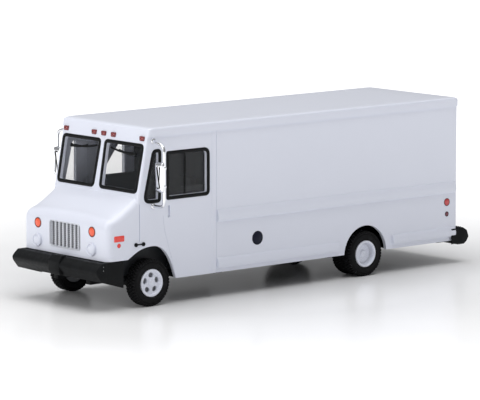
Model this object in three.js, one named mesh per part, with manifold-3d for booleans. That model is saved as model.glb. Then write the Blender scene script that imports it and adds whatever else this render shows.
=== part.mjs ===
// Die-cast miniature of a step-van mail truck, 1:64. Millimetres, +X forward, +Y left, +Z up.
// The origin is on the ground, under the middle of the overall box.
import * as THREE from 'three';
import { mergeVertices } from 'three/addons/utils/BufferGeometryUtils.js';
import Module from 'manifold-3d';

const wasm = await Module();
wasm.setup();

// ---- driving dimensions ------------------------------------------------------------------
const length = 138.9;             // over both bumpers
const height = 48.9;              // ground to roof
const bodyWidth = 36.9;           // over the body sides
const wheelbase = 79;
const frontOverhang = 19.3;       // front bumper face to front axle
const wall = 1.1;                 // thickness of the casting
const seat = 0.04;                // clearance all round a piece that seats in another

const bumperReach = { front: 4, rear: 4.5 };    // how far each bumper stands off the body
const tyreRadius = 6.48;
const tyreSides = 40;             // the tread is a polygon, so the truck stands on flats
const rimRadius = 3.81;
const frontTyreWidth = 4.1;
const rearTyreWidth = 8.1;        // a moulded pair
const wheelProud = 0.35;          // outer wheel faces beyond the body sides
const axleRadius = 0.75;
const bearingClearance = 0.08;    // radial, where an axle runs in the chassis
const wheelClearance = 1.7;       // tyre to wheel arch

const sillHeight = 6.9;           // lower edge of the sides
const noseLowHeight = 13.6;       // lower edge of the nose
const noseTopHeight = 24.6;       // upper edge of the nose's front face
const cowlHeight = 30.3;          // where the hood meets the windscreens
const hoodLength = 10.8;
const screenRake = THREE.MathUtils.degToRad(11.1);
const roofEdge = 0.8;             // rounding where the roof meets the sides and the tail
const headerEdge = 1.8;           // rounding where the roof meets the front
const cornerRounding = 0.9;       // upright corners of the body
const noseRounding = 2.1;         // upright corners and top edge of the nose

const gasketWidth = 1;
const gasketProud = 0.2;
const gasketRebate = 0.15;        // depth of the groove that holds a gasket
const glassRecess = 0.85;         // body skin to glass
const glassThickness = 0.45;

const dripHeight = 2.6;           // depth of the band along the roof's edge
const mouldingProud = 0.4;        // drip band and rub rails beyond the skin
const beltRail = { low: 21.1, high: 24.4 };
const sillRail = { low: 8.2, high: 11.0 };
const cabSeamSetback = 38.4;      // nose to the joint between cab and cargo box

const arcSteps = 3;               // facets in each rounded corner

// ---- stations worked out from them --------------------------------------------------------
const halfWidth = bodyWidth / 2;
const bumperFaceX = length / 2;
const rearFaceX = -length / 2;
const noseX = bumperFaceX - bumperReach.front;
const tailX = rearFaceX + bumperReach.rear;
const frontAxleX = bumperFaceX - frontOverhang;
const rearAxleX = frontAxleX - wheelbase;
const axleHeight = tyreRadius * Math.cos(Math.PI / tyreSides);
const wheelFaceY = halfWidth + wheelProud;
const screenFootX = noseX - hoodLength;
const noseSeamX = screenFootX - 0.33;      // joint between nose and cab
const cabSeamX = noseX - cabSeamSetback;
const archRadius = tyreRadius + wheelClearance;
const dripLow = height - dripHeight;
const screenX = (z) => screenFootX - (z - cowlHeight) * Math.tan(screenRake);

// ---- shapes, solids and meshes -------------------------------------------------------------
// A closed outline through corners [x, y, rounding]. A rounded corner is one quadratic curve.
function outline(corners) {
  const shape = new THREE.Shape();
  corners.forEach(([x, y, rounding = 0], i) => {
    const corner = new THREE.Vector2(x, y);
    const towards = (other) => new THREE.Vector2(other[0] - x, other[1] - y).setLength(rounding).add(corner);
    const start = towards(corners.at(i - 1));
    const end = towards(corners[(i + 1) % corners.length]);
    if (i === 0) shape.moveTo(start.x, start.y);
    else shape.lineTo(start.x, start.y);
    if (rounding > 0) shape.quadraticCurveTo(x, y, end.x, end.y);
  });
  shape.closePath();
  return shape;
}

// The same corners with every edge moved inwards by a distance, or outwards if it is negative.
function inset(corners, distance) {
  const points = corners.map(([x, y]) => new THREE.Vector2(x, y));
  const turn = THREE.ShapeUtils.isClockWise(points) ? -1 : 1;
  return corners.map(([x, y, rounding = 0], i) => {
    const before = points[i].clone().sub(points.at(i - 1)).normalize();
    const after = points[(i + 1) % points.length].clone().sub(points[i]).normalize();
    const mitre = new THREE.Vector2(-before.y - after.y, before.x + after.x);
    mitre.multiplyScalar(turn * distance / (1 + before.dot(after)));
    return [x + mitre.x, y + mitre.y, Math.max(rounding - distance, 0)];
  });
}

// Corners of an upright rectangle, all rounded alike.
function rectangle(x0, x1, y0, y1, rounding = 0) {
  return [[x0, y0, rounding], [x1, y0, rounding], [x1, y1, rounding], [x0, y1, rounding]];
}

function extruded(shape, depth) {
  return new THREE.ExtrudeGeometry(shape, { depth, bevelEnabled: false, curveSegments: arcSteps });
}

// An outline drawn in X and Z, carried along Y.
function prismY(shape, fromY, toY) {
  return extruded(shape, toY - fromY).rotateX(Math.PI / 2).translate(0, toY, 0);
}

// An outline drawn in Y and Z, carried along X.
function prismX(shape, fromX, toX) {
  const basis = new THREE.Matrix4().makeBasis(
    new THREE.Vector3(0, 1, 0), new THREE.Vector3(0, 0, 1), new THREE.Vector3(1, 0, 0));
  return extruded(shape, toX - fromX).applyMatrix4(basis).translate(fromX, 0, 0);
}

// An outline drawn in X and Y, carried up Z.
function prismZ(shape, fromZ, toZ) {
  return extruded(shape, toZ - fromZ).translate(0, 0, fromZ);
}

// A box between two corners.
function block(x0, x1, y0, y1, z0, z1) {
  return prismZ(outline(rectangle(x0, x1, y0, y1)), z0, z1);
}

// A round bar between two stations on an axis parallel to X, Y or Z.
function bar(axis, radius, from, to, centre, sides = 24) {
  const rod = new THREE.CylinderGeometry(radius, radius, to - from, sides);
  if (axis === 'x') rod.rotateZ(-Math.PI / 2).translate((from + to) / 2, centre[0], centre[1]);
  if (axis === 'y') rod.translate(centre[0], (from + to) / 2, centre[1]);
  if (axis === 'z') rod.rotateX(Math.PI / 2).translate(centre[0], centre[1], (from + to) / 2);
  return rod;
}

// A profile of [radius, station] points turned about the Y axis. Its flats face straight down.
function turned(profile, sides) {
  const points = profile.map(([radius, y]) => new THREE.Vector2(radius, y));
  return new THREE.LatheGeometry(points, sides, Math.PI / sides);
}

// A dome: a shallow cap of a sphere on a short round foot, standing along +Z from the origin.
function dome(radius, foot, rise, sides = 16) {
  const steps = 2;
  const curve = Array.from({ length: steps + 1 }, (_, i) => {
    const angle = (i / steps) * Math.PI / 2;
    return new THREE.Vector2(radius * Math.cos(angle), foot + rise * Math.sin(angle));
  });
  curve[steps].x = 0;
  return new THREE.LatheGeometry([new THREE.Vector2(0, 0), new THREE.Vector2(radius, 0), ...curve], sides)
    .rotateX(Math.PI / 2);
}

function welded(geometry) {
  const bare = geometry.clone();
  bare.deleteAttribute('normal');
  bare.deleteAttribute('uv');
  return mergeVertices(bare, 1e-4);
}

// Signed volume, which is negative when the faces point inwards.
function signedVolume(geometry) {
  const { array } = geometry.attributes.position;
  const corner = (i) => new THREE.Vector3().fromArray(array, geometry.index.array[i] * 3);
  let volume = 0;
  for (let i = 0; i < geometry.index.count; i += 3) {
    volume += corner(i).dot(corner(i + 1).cross(corner(i + 2))) / 6;
  }
  return volume;
}

// The geometry with shared corners, and with its faces pointing out.
function closed(geometry) {
  const bare = welded(geometry);
  if (signedVolume(bare) < 0) {
    const { array } = bare.index;
    for (let i = 0; i < array.length; i += 3) [array[i], array[i + 1]] = [array[i + 1], array[i]];
  }
  return bare;
}

function solid(geometry) {
  const bare = closed(geometry);
  return new wasm.Manifold(new wasm.Mesh({
    numProp: 3,
    vertProperties: new Float32Array(bare.attributes.position.array),
    triVerts: new Uint32Array(bare.index.array),
  }));
}

const joined = (geometries) => geometries.map(solid).reduce((all, next) => all.add(next));
const without = (body, geometries) => geometries.reduce((rest, tool) => rest.subtract(solid(tool)), body);

function surface(manifold) {
  const mesh = manifold.getMesh();
  const geometry = new THREE.BufferGeometry();
  geometry.setAttribute('position', new THREE.BufferAttribute(mesh.vertProperties, 3));
  geometry.setIndex(new THREE.BufferAttribute(mesh.triVerts, 1));
  return geometry;
}

// The same piece for the other side of the truck.
const mirrored = (geometry) => geometry.clone().scale(1, -1, 1);
const bothSides = (geometries) => geometries.flatMap((g) => [g, mirrored(g)]);

const finishes = {
  white: { color: 0xe6e9f2, roughness: 0.3, metalness: 0 },
  black: { color: 0x1d1f21, roughness: 0.5, metalness: 0 },
  rubber: { color: 0x17181a, roughness: 0.75, metalness: 0 },
  hub: { color: 0xd4d8e4, roughness: 0.35, metalness: 0 },
  interior: { color: 0x3b3d42, roughness: 0.6, metalness: 0 },
  glass: { color: 0xc9d4da, roughness: 0.05, metalness: 0 },
  chrome: { color: 0xd9dbde, roughness: 0.12, metalness: 1 },
  silver: { color: 0xa9adb5, roughness: 0.4, metalness: 0.7 },
  steel: { color: 0xb4b6ba, roughness: 0.3, metalness: 1 },
  amber: { color: 0xe8482c, roughness: 0.3, metalness: 0 },
  red: { color: 0xc9272b, roughness: 0.3, metalness: 0 },
};

const truck = new THREE.Group();

function add(name, finish, geometry) {
  const shape = closed(geometry);
  shape.computeVertexNormals();
  const mesh = new THREE.Mesh(shape, new THREE.MeshStandardMaterial(finishes[finish]));
  mesh.name = name;
  truck.add(mesh);
}

// A piece and its twin on the right side.
function addPair(name, finish, geometry) {
  add(`${name}_left`, finish, geometry);
  add(`${name}_right`, finish, mirrored(geometry));
}

// ---- window outlines -----------------------------------------------------------------------
// The windscreens are drawn on the raked plane: across to the left, and up from the cowl.
const screenPlane = new THREE.Matrix4().makeBasis(
  new THREE.Vector3(0, 1, 0),
  new THREE.Vector3(-Math.sin(screenRake), 0, Math.cos(screenRake)),
  new THREE.Vector3(Math.cos(screenRake), 0, Math.sin(screenRake)),
).setPosition(screenFootX, 0, cowlHeight);
const headerHeight = height - 4.75;       // tops of the windscreens
const upRake = (z) => (z - cowlHeight) / Math.cos(screenRake);
const screenPillar = 1;                   // half of the post between the windscreens
const screenCorners = [
  [screenPillar + 0.45, 0.75, 1.6],
  [halfWidth - 1.15, 0.75, 1.6],
  [halfWidth - 0.9, upRake(headerHeight), 1.6],
  [screenPillar, upRake(headerHeight), 1.6],
];

// The side windows are drawn in X and Z, behind the raked front edge of the side.
const windowLow = 28.2;
const windowTop = height - 6.9;
const doorCorners = [
  [cabSeamX + 2.35, windowLow + 0.45, 1.6],
  [cabSeamX + 17.85, windowLow + 0.45, 0.8],
  [cabSeamX + 17.85, windowTop, 0.8],
  [cabSeamX + 2.35, windowTop, 2.2],
];
const quarterRear = cabSeamX + 19.7;
const quarterFront = (z) => screenX(z) - 1.75;
const quarterCorners = [
  [quarterRear, windowLow, 1.3],
  [quarterFront(windowLow), windowLow, 3],
  [quarterFront(windowTop) - 0.9, windowTop + 0.9, 1.4],
  [quarterRear - 0.2, windowTop + 0.9, 1.4],
];

// How a window's pieces are carried to the left side or to the raked plane.
const onScreen = (shape, from, to) => extruded(shape, to - from).translate(0, 0, from)
  .applyMatrix4(screenPlane);
const onSide = (shape, from, to) => prismY(shape, halfWidth + from, halfWidth + to);
const windows = [
  { name: 'windscreen', corners: screenCorners, place: onScreen },
  { name: 'quarter_window', corners: quarterCorners, place: onSide },
  { name: 'door_window', corners: doorCorners, place: onSide },
];

function gasket({ corners, place }) {
  const ring = outline(corners);
  ring.holes.push(outline(inset(corners, gasketWidth)));
  return place(ring, seat - gasketRebate, gasketProud);
}

function pane({ corners, place }) {
  const back = -glassRecess - glassThickness;
  return place(outline(inset(corners, gasketWidth + seat)), back, -glassRecess);
}

// The groove for the gasket, and the opening that its glass looks through.
function windowCuts({ corners, place }) {
  return [
    place(outline(inset(corners, -seat)), -gasketRebate, 1),
    place(outline(inset(corners, gasketWidth)), -3 * wall, 1),
  ];
}

// ---- body casting --------------------------------------------------------------------------
// The cab and cargo box, with every wall moved in by a distance. The front is raked.
function boxBlock(inward, floor) {
  const roof = height - inward;
  const half = halfWidth - inward;
  const rounding = Math.max(roofEdge - inward, 0.2);
  const header = Math.max(headerEdge - inward, 0.2);
  const corner = Math.max(cornerRounding - inward, 0.2);
  const across = outline([[-half, floor], [half, floor], [half, roof, rounding], [-half, roof, rounding]]);
  const along = outline([
    [tailX + inward, floor], [screenX(floor) - inward, floor],
    [screenX(roof) - inward, roof, header], [tailX + inward, roof, rounding],
  ]);
  const raked = new THREE.Matrix4().makeShear(0, 0, 0, 0, -Math.tan(screenRake), 0);
  const front = prismZ(outline([
    [tailX - length, -half], [screenFootX - inward, -half, corner],
    [screenFootX - inward, half, corner], [tailX - length, half],
  ]), floor - cowlHeight, roof - cowlHeight).applyMatrix4(raked).translate(0, 0, cowlHeight);
  const back = prismZ(outline([
    [tailX + inward, -half, corner], [noseX, -half], [noseX, half], [tailX + inward, half, corner],
  ]), floor, roof);
  return [prismY(along, -half, half), front, back].reduce(
    (body, next) => body.intersect(solid(next)), solid(prismX(across, tailX, noseX)));
}

// The nose: front face, and a hood that sweeps up to the windscreens.
function noseBlock(inward, floor, rearX) {
  const half = halfWidth - inward;
  const face = noseX - inward;
  const top = noseTopHeight - inward;
  const cowl = cowlHeight - inward;
  const side = new THREE.Shape();
  side.moveTo(rearX, floor);
  side.lineTo(face, floor);
  side.lineTo(face, top - noseRounding);
  side.quadraticCurveTo(face, top, face - 0.8 * noseRounding, top + 0.5);
  side.quadraticCurveTo(screenFootX + 0.5 * hoodLength, top + 1, screenFootX, cowl);
  side.lineTo(rearX, cowl);
  side.closePath();
  const rounding = Math.max(noseRounding - inward, 0.3);
  const plan = outline([[rearX, -half], [face, -half, rounding], [face, half, rounding], [rearX, half]]);
  const crown = 1.3;                         // fall of the hood towards its sides
  const section = outline([
    [-half, floor], [half, floor], [half, cowl - crown, 0.6], [half - 3 * crown, cowl, 2 * crown],
    [3 * crown - half, cowl, 2 * crown], [-half, cowl - crown, 0.6],
  ]);
  return solid(prismY(side, -half, half))
    .intersect(solid(prismZ(plan, floor, cowl)))
    .intersect(solid(prismX(section, rearX, face)));
}

// A wheel arch outline in X and Z: flat-topped and leaning forward over the front wheel.
function frontArch() {
  const shape = new THREE.Shape();
  const reach = archRadius + 0.45;
  shape.moveTo(frontAxleX - reach, 0);
  shape.lineTo(frontAxleX - reach, sillHeight);
  shape.bezierCurveTo(frontAxleX - 0.8 * reach, axleHeight + 0.75 * archRadius, frontAxleX - 0.55 * reach,
    axleHeight + 1.23 * archRadius, frontAxleX - 0.06 * reach, axleHeight + 1.23 * archRadius);
  shape.bezierCurveTo(frontAxleX + 0.4 * reach, axleHeight + 1.23 * archRadius, frontAxleX + 0.6 * reach,
    axleHeight + 1.1 * archRadius, frontAxleX + 0.95 * reach, noseLowHeight);
  shape.lineTo(noseX + 1, noseLowHeight);
  shape.lineTo(noseX + 1, 0);
  shape.closePath();
  return shape;
}

function rearArch() {
  return bar('y', archRadius, -halfWidth - 1, halfWidth + 1, [rearAxleX, axleHeight], 32);
}

// A rub rail on the left side: flat face, sloping upper edge, square lower edge.
function rail({ low, high }, fromX, toX) {
  const skin = halfWidth - wall / 2;
  const proud = halfWidth + mouldingProud;
  const section = outline([
    [skin, low], [proud, low], [proud, high - 1.1], [halfWidth - 0.02, high], [skin, high],
  ]);
  return prismX(section, fromX, toX);
}

// The band round the roof: it leans out to a drip edge.
function dripBand() {
  const proud = halfWidth + mouldingProud;
  const across = outline([
    [-proud, dripLow], [proud, dripLow], [proud - 0.1, height, roofEdge], [0.1 - proud, height, roofEdge],
  ]);
  const along = outline([
    [tailX, dripLow], [screenX(dripLow), dripLow], [screenX(height), height, headerEdge],
    [tailX, height, roofEdge],
  ]);
  const plan = outline(rectangle(tailX, screenX(dripLow), -proud, proud, cornerRounding));
  return solid(prismX(across, tailX, screenFootX))
    .intersect(solid(prismY(along, -proud, proud)))
    .intersect(solid(prismZ(plan, dripLow, height)));
}

const postRadius = 2.2;
const posts = [{ x: noseX - 5.4 }, { x: tailX + 9 }];
const plateThickness = 1.2;                // of the chassis plate
const baseTop = axleHeight + axleRadius + 1.09;    // upper face of that plate, above the axles
const plateLow = baseTop - plateThickness;
const lampY = halfWidth - 6.6;              // turn signals and headlamps
const signal = { z: 21.2, radius: 1.45 };
const headlamp = { z: 16.4, radius: 1.75 };
const grille = { half: 6.9, low: 15.3, high: 22.6 };
const grilleCorners = rectangle(-grille.half, grille.half, grille.low, grille.high, 1.1);
const pocket = 0.5;                        // depth of the seats for lamps and other trim
const markerSize = { width: 1.3, height: 1.2, z: height - 3.1 };
const markerYs = [-4.2, 0, 4.2].concat([-1, 1].map((side) => side * (halfWidth - 1.95)));
const reflector = [noseX - 5.8, noseX - 2.35, 18.8, 20.4, 0.15];
const sideMarker = { x: noseX - 4, z: 17.75, radius: 0.62 };
const filler = { x: cabSeamX - 15, z: 15.1, radius: 1.95 };
const tailSideLamps = [
  { name: 'side_stop_lamp', z: 18.4, radius: 1.15 },
  { name: 'side_reflector_rear', z: 14.9, radius: 0.75 },
];
const tailSideX = tailX + 3.9;
const tailLamp = { y: halfWidth - 2.6, z: 18.4, radius: 1.3 };
const latch = { z: 17.4, spread: 1.35, radius: 0.55 };
const grip = { x: cabSeamX + 16.95, width: 0.9, low: windowLow - 4.4, high: windowLow - 1.2 };

// Round seats on the left side, drilled to a depth below a skin.
const sidePocket = (x, z, radius, skinY) => bar('y', radius + seat, skinY - pocket, skinY + 1, [x, z]);

// Grooves in the left side: the joints of cab and box and of nose and cab, and the recess of
// the door's grip.
function sideJoints() {
  const groove = 0.12;
  const cut = (x, width, low, high) => block(x - width / 2, x + width / 2, halfWidth - groove, halfWidth + 1,
    low, high);
  return [
    cut(cabSeamX, groove, sillHeight - 1, dripLow),
    cut(noseSeamX, 2 * groove, latch.z + 0.7, cowlHeight - 2),
    cut(grip.x, grip.width, grip.low, grip.high),
  ];
}

// Rear doors: two leaves outlined by grooves, in the tail.
function rearDoorJoints() {
  const groove = 0.3;
  const width = 0.25;
  const low = 12.4;
  const high = dripLow - 1.6;
  const side = halfWidth - 4.6;
  const cut = (y0, y1, z0, z1) => block(tailX - 1, tailX + groove, y0, y1, z0, z1);
  return [
    cut(-width / 2, width / 2, low, high),
    cut(-side, -side + width, low, high),
    cut(side - width, side, low, high),
    cut(-side, side, high - width, high),
    cut(-side, side, low, low + width),
  ];
}

function bodyShell() {
  const skin = boxBlock(0, sillHeight).add(noseBlock(0, noseLowHeight, cabSeamX)).add(dripBand());
  const hollow = boxBlock(wall, -1).add(noseBlock(wall, -1, screenFootX - 3 * wall));
  const arches = [prismY(frontArch(), -halfWidth - 1, halfWidth + 1), rearArch()];
  const rails = bothSides([
    rail(beltRail, tailX + cornerRounding, cabSeamX - 0.2),
    rail(sillRail, rearAxleX + archRadius + 2.2, cabSeamX - 0.2),
    rail(sillRail, tailX + cornerRounding, rearAxleX - archRadius - 2.2),
  ]);
  const pillar = bothSides([block(cabSeamX + 0.25, cabSeamX + 1.6, halfWidth - 0.3, halfWidth + 0.08,
    sillHeight, dripLow)]);
  const lugs = joined(posts.map(({ x }) => bar('z', postRadius, baseTop + seat, height, [x, 0])))
    .intersect(skin);
  const pockets = bothSides([
    ...[signal, headlamp].map(({ z, radius }) => bar('x', radius + seat, noseX - pocket, noseX + 1,
      [lampY, z])),
    prismY(outline(inset(rectangle(...reflector), -seat)), halfWidth - pocket, halfWidth + 1),
    sidePocket(sideMarker.x, sideMarker.z, sideMarker.radius, halfWidth),
    ...tailSideLamps.map(({ z, radius }) => sidePocket(tailSideX, z, radius, halfWidth)),
    bar('x', tailLamp.radius + seat, tailX - 1, tailX + pocket, [tailLamp.y, tailLamp.z]),
    sidePocket(noseSeamX, latch.z, latch.radius, halfWidth),
  ]);
  const markerSeats = markerYs.map((y) => markerBlock(y, seat));
  const grilleSeat = prismX(outline(inset(grilleCorners, -seat)), noseX - 3 * wall, noseX + 1);
  const fillerSeat = sidePocket(filler.x, filler.z, filler.radius, halfWidth);
  const cuts = [
    ...arches, ...windows.flatMap((w) => bothSides(windowCuts(w))), ...bothSides(sideJoints()),
    ...rearDoorJoints(), ...pockets, ...markerSeats, grilleSeat, fillerSeat,
    ...posts.map(({ x }) => bar('z', 0.7, 0, baseTop + 4, [x, 0], 16)),
  ];
  const walls = skin.add(joined([...rails, ...pillar])).subtract(hollow);
  return surface(without(walls.add(lugs), cuts));
}

// ---- pieces let into the body ---------------------------------------------------------------
// A small roof lamp on the header, grown by a margin for the seat that holds it.
function markerBlock(y, margin = 0) {
  const { width, height: tall, z } = markerSize;
  const corners = rectangle(y - width / 2, y + width / 2, z - tall / 2, z + tall / 2, 0.35);
  const shape = outline(inset(corners, -margin));
  const skin = screenX(z);
  return prismX(shape, skin - pocket, skin + (margin ? 1 : 0.4));
}

function lampLens(radius, rise, x, z) {
  return dome(radius, pocket - seat, rise).applyMatrix4(new THREE.Matrix4().makeBasis(
    new THREE.Vector3(0, 1, 0), new THREE.Vector3(0, 0, 1), new THREE.Vector3(1, 0, 0)))
    .translate(x - pocket + seat, lampY, z);
}

function sideLens(radius, rise, x, z, skinY) {
  return dome(radius, pocket - seat, rise).rotateX(-Math.PI / 2).translate(x, skinY - pocket + seat, z);
}

function grilleInsert() {
  const bars = 9;
  const floorX = noseX - 1;                  // the bars stand on this face, below the frame
  const backing = prismX(outline(grilleCorners), floorX - 0.5, floorX);
  const pitch = 2 * grille.half / bars;
  const ribs = Array.from({ length: bars }, (_, i) => {
    const y = -grille.half + (i + 0.5) * pitch;
    return block(floorX - 0.1, floorX + 0.5, y - 0.3 * pitch, y + 0.3 * pitch,
      grille.low + 0.3, grille.high - 0.3);
  });
  const frame = outline(grilleCorners);
  frame.holes.push(outline(inset(grilleCorners, 0.35)));
  return surface(joined([backing, ...ribs, prismX(frame, floorX - 0.1, noseX + 0.1)]));
}

// Two round studs and a bar between them, across the joint of nose and cab.
function hoodLatch() {
  const y = halfWidth - pocket + seat;
  const stud = (x) => bar('y', latch.radius - 0.05, halfWidth + 0.05, halfWidth + 0.4, [x, latch.z], 12);
  return surface(joined([
    bar('y', latch.radius, y, halfWidth + 0.1, [noseSeamX, latch.z], 12),
    stud(noseSeamX - latch.spread), stud(noseSeamX + latch.spread),
    block(noseSeamX - latch.spread, noseSeamX + latch.spread, halfWidth + 0.05, halfWidth + 0.3,
      latch.z - 0.22, latch.z + 0.22),
  ]));
}

// ---- bumpers -------------------------------------------------------------------------------
function frontBumper() {
  const half = halfWidth + 0.15;
  const back = noseX + 0.25;
  const [low, high] = [8.3, noseLowHeight - 0.2];
  const beam = prismY(outline([
    [back, low], [bumperFaceX - 2, low, 0.3], [bumperFaceX - 0.4, low + 2, 0.4],
    [bumperFaceX, high - 2, 0.5], [bumperFaceX - 0.6, high - 1.2, 0.5], [bumperFaceX - 2, high, 0.3],
    [back, high],
  ]), -half, half);
  const skirtEnd = frontAxleX + archRadius + 1.6;
  const skirt = prismY(outline([
    [skirtEnd, sillHeight - 0.8], [bumperFaceX - 2, low], [bumperFaceX - 2, high], [skirtEnd, high],
  ]), half - 1.3, half - 0.1);
  const guard = block(bumperFaceX - 2.6, bumperFaceX, -2.4, 2.4, low + 0.2, high + 0.5);
  const shelf = block(posts[0].x + 3.4, back + 0.3, 4.5 - half, half - 4.5, high - 1.4, high - 0.1);
  const ends = prismZ(outline(rectangle(frontAxleX, bumperFaceX, -half, half, 0.6)), 0, noseLowHeight + 1);
  return surface(joined([beam, ...bothSides([skirt]), guard, shelf]).intersect(solid(ends)));
}

function rearBumper() {
  const half = halfWidth + 0.65;
  const [low, high] = [5.6, 10.5];
  const middle = (low + high) / 2;
  const beam = prismY(outline([
    [tailX - 0.15, low], [rearFaceX + 1.9, low], [rearFaceX + 0.8, low + 0.75], [rearFaceX, middle - 0.4],
    [rearFaceX + 0.7, high - 0.95], [rearFaceX + 2.3, high], [tailX - 0.15, high],
  ]), -half, half);
  const inside = halfWidth + mouldingProud + 0.05;
  const ends = bothSides([block(tailX - 1, tailX + 2.5, inside, half, low + 0.3, high - 0.1)]);
  const hangers = bothSides([block(tailX - 0.6, tailX + 3.6, 8.7, 10.3, low + 0.3, sillHeight - 0.2)]);
  return surface(joined([beam, ...ends, ...hangers]));
}

// ---- chassis -------------------------------------------------------------------------------
const frontInnerY = wheelFaceY - frontTyreWidth;
const rearInnerY = wheelFaceY - rearTyreWidth;
const railY = { inner: rearInnerY - 4.5, outer: rearInnerY - 2.7 };    // frame rails, on each side
const railLow = plateLow - 1.1;
const bearingLow = plateLow - 2.2;
const underside = plateLow - 2.7;          // lower face of the gearbox

function chassisBase() {
  const half = halfWidth - wall - 0.15;
  const wheelRoom = archRadius + 0.3;
  const plate = prismZ(outline([
    [tailX + wall + 0.15, -half], [rearAxleX - wheelRoom, -half], [rearAxleX - wheelRoom, -rearInnerY + 0.7],
    [rearAxleX + wheelRoom, -rearInnerY + 0.7], [rearAxleX + wheelRoom, -half],
    [frontAxleX - wheelRoom, -half], [frontAxleX - wheelRoom, -frontInnerY + 0.8],
    [posts[0].x + 3, -frontInnerY + 0.8], [posts[0].x + 3, frontInnerY - 0.8],
    [frontAxleX - wheelRoom, frontInnerY - 0.8], [frontAxleX - wheelRoom, half],
    [rearAxleX + wheelRoom, half], [rearAxleX + wheelRoom, rearInnerY - 0.7],
    [rearAxleX - wheelRoom, rearInnerY - 0.7], [rearAxleX - wheelRoom, half], [tailX + wall + 0.15, half],
  ]), plateLow, baseTop);
  const overlap = plateLow + 0.3;            // how far up each member reaches into the plate
  const rails = bothSides([block(tailX + 4, posts[0].x + 3, railY.inner, railY.outer, railLow, overlap)]);
  const crossMembers = [tailX + 12, rearAxleX + 13, (rearAxleX + frontAxleX) / 2, frontAxleX - 12]
    .map((x) => block(x, x + 1.4, -railY.outer, railY.outer, railLow + 0.3, overlap));
  const shaft = bar('x', 0.75, rearAxleX, frontAxleX - 11, [0, axleHeight - 0.5], 12);
  const differential = new THREE.SphereGeometry(2.6, 16, 10).scale(1, 1, 0.75)
    .translate(rearAxleX, 0, axleHeight - 0.2);
  const gearbox = block(frontAxleX - 15, frontAxleX - 2, -2.6, 2.6, underside, overlap);
  const tank = prismX(outline(rectangle(railY.outer + 2.2, half - 1.2, plateLow - 0.6, overlap, 0.3)),
    filler.x - 9, filler.x + 5);
  const muffler = bar('x', 1.5, filler.x - 8, filler.x + 6, [-railY.outer - 4.2, plateLow - 1.2], 16);
  const tailpipe = bar('x', 0.55, tailX + 6, filler.x - 7, [-railY.outer - 1, plateLow - 0.4], 10);
  const mounts = [tailX + 5.2, rearAxleX + 12.8, cabSeamX - 1.6]
    .flatMap((x) => bothSides([block(x - 1.5, x + 1.5, half - 2.4, half, plateLow - 0.6, overlap)]));
  const bearings = bothSides([
    block(rearAxleX - 1.8, rearAxleX + 1.8, railY.inner, rearInnerY - 0.7, bearingLow, baseTop),
    block(frontAxleX - 1.8, frontAxleX + 1.8, railY.inner, frontInnerY - 0.8, bearingLow, baseTop),
  ]);
  const holes = [
    ...[frontAxleX, rearAxleX].map((x) => bar('y', axleRadius + bearingClearance, -halfWidth, halfWidth,
      [x, axleHeight])),
    ...posts.map(({ x }) => bar('z', 0.75, 0, baseTop + 1, [x, 0], 16)),
    ...posts.map(({ x }) => bar('z', 1.5, 0, plateLow + 0.2, [x, 0])),
  ];
  const body = joined([
    plate, ...rails, ...crossMembers, shaft, differential, gearbox, tank, muffler, tailpipe, ...mounts,
    ...bearings,
  ]);
  return surface(without(body, holes));
}

// A rivet: domed head under the plate, shank up into the post.
function rivet({ x }) {
  const head = dome(1.35, 0.3, 0.6).rotateX(Math.PI).translate(x, 0, plateLow + 0.14);
  const shank = bar('z', 0.6, plateLow, baseTop + 3.5, [x, 0], 16);
  return surface(joined([head, shank]));
}

// ---- cab interior --------------------------------------------------------------------------
const floorTop = baseTop + 1.1;

function cabInterior() {
  const half = halfWidth - wall - 0.2;
  const rear = cabSeamX - 1;
  const wellX = frontAxleX - archRadius - 1.2;
  const toe = posts[0].x - postRadius - 0.4;
  const wellY = frontInnerY - 1.2;
  const floor = prismZ(outline([
    [rear, -half], [wellX, -half], [wellX, -wellY], [toe, -wellY],
    [toe, wellY], [wellX, wellY], [wellX, half], [rear, half],
  ]), baseTop + 0.1, floorTop);
  const bulkhead = block(rear, rear + 1, -half, half, baseTop + 0.1, height - wall - 1.6);
  const panelY = halfWidth - glassRecess - glassThickness - 0.2;
  const sidePanels = bothSides([
    block(rear, rear + 12, panelY - 1, panelY, baseTop + 0.1, windowLow + 3.4),
  ]);
  const wells = bothSides([
    block(wellX, wellX + 2 * archRadius + 1.6, wellY - 1, wellY, baseTop + 0.1, 18.6),
  ]);
  const wellTops = block(wellX, screenFootX - 2.6, 0.2 - half, half - 0.2, 17.8, 18.8);
  const dash = prismY(outline([
    [screenFootX - 5.2, 17.9], [screenFootX - 1.8, 17.9], [screenFootX - 1.8, 27.2, 0.6],
    [screenFootX - 4.6, 27.2, 1], [screenFootX - 5.2, 22],
  ]), -half + 0.6, half - 0.6);
  const column = bar('x', 0.4, screenFootX - 7.2, screenFootX - 4.4, [8.2, 24.6], 10);
  const cushion = prismZ(outline(rectangle(rear + 4.5, rear + 11.5, 4.8, 12, 1.2)), 19.6, 21.4);
  const backrest = prismX(outline(rectangle(4.8, 12, 20.6, 33, 1.6)), rear + 2.8, rear + 4.9);
  const pedestal = block(rear + 5.5, rear + 10.5, 6.4, 10.4, floorTop - 0.2, 20);
  const doghouse = prismX(outline(rectangle(-4.4, 4.4, floorTop - 0.4, 22.5, 1)),
    wellX + 3, screenFootX - 2.4);
  return surface(joined([
    floor, bulkhead, ...sidePanels, ...wells, wellTops, dash, column, cushion, backrest, pedestal, doghouse,
  ]));
}

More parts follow.
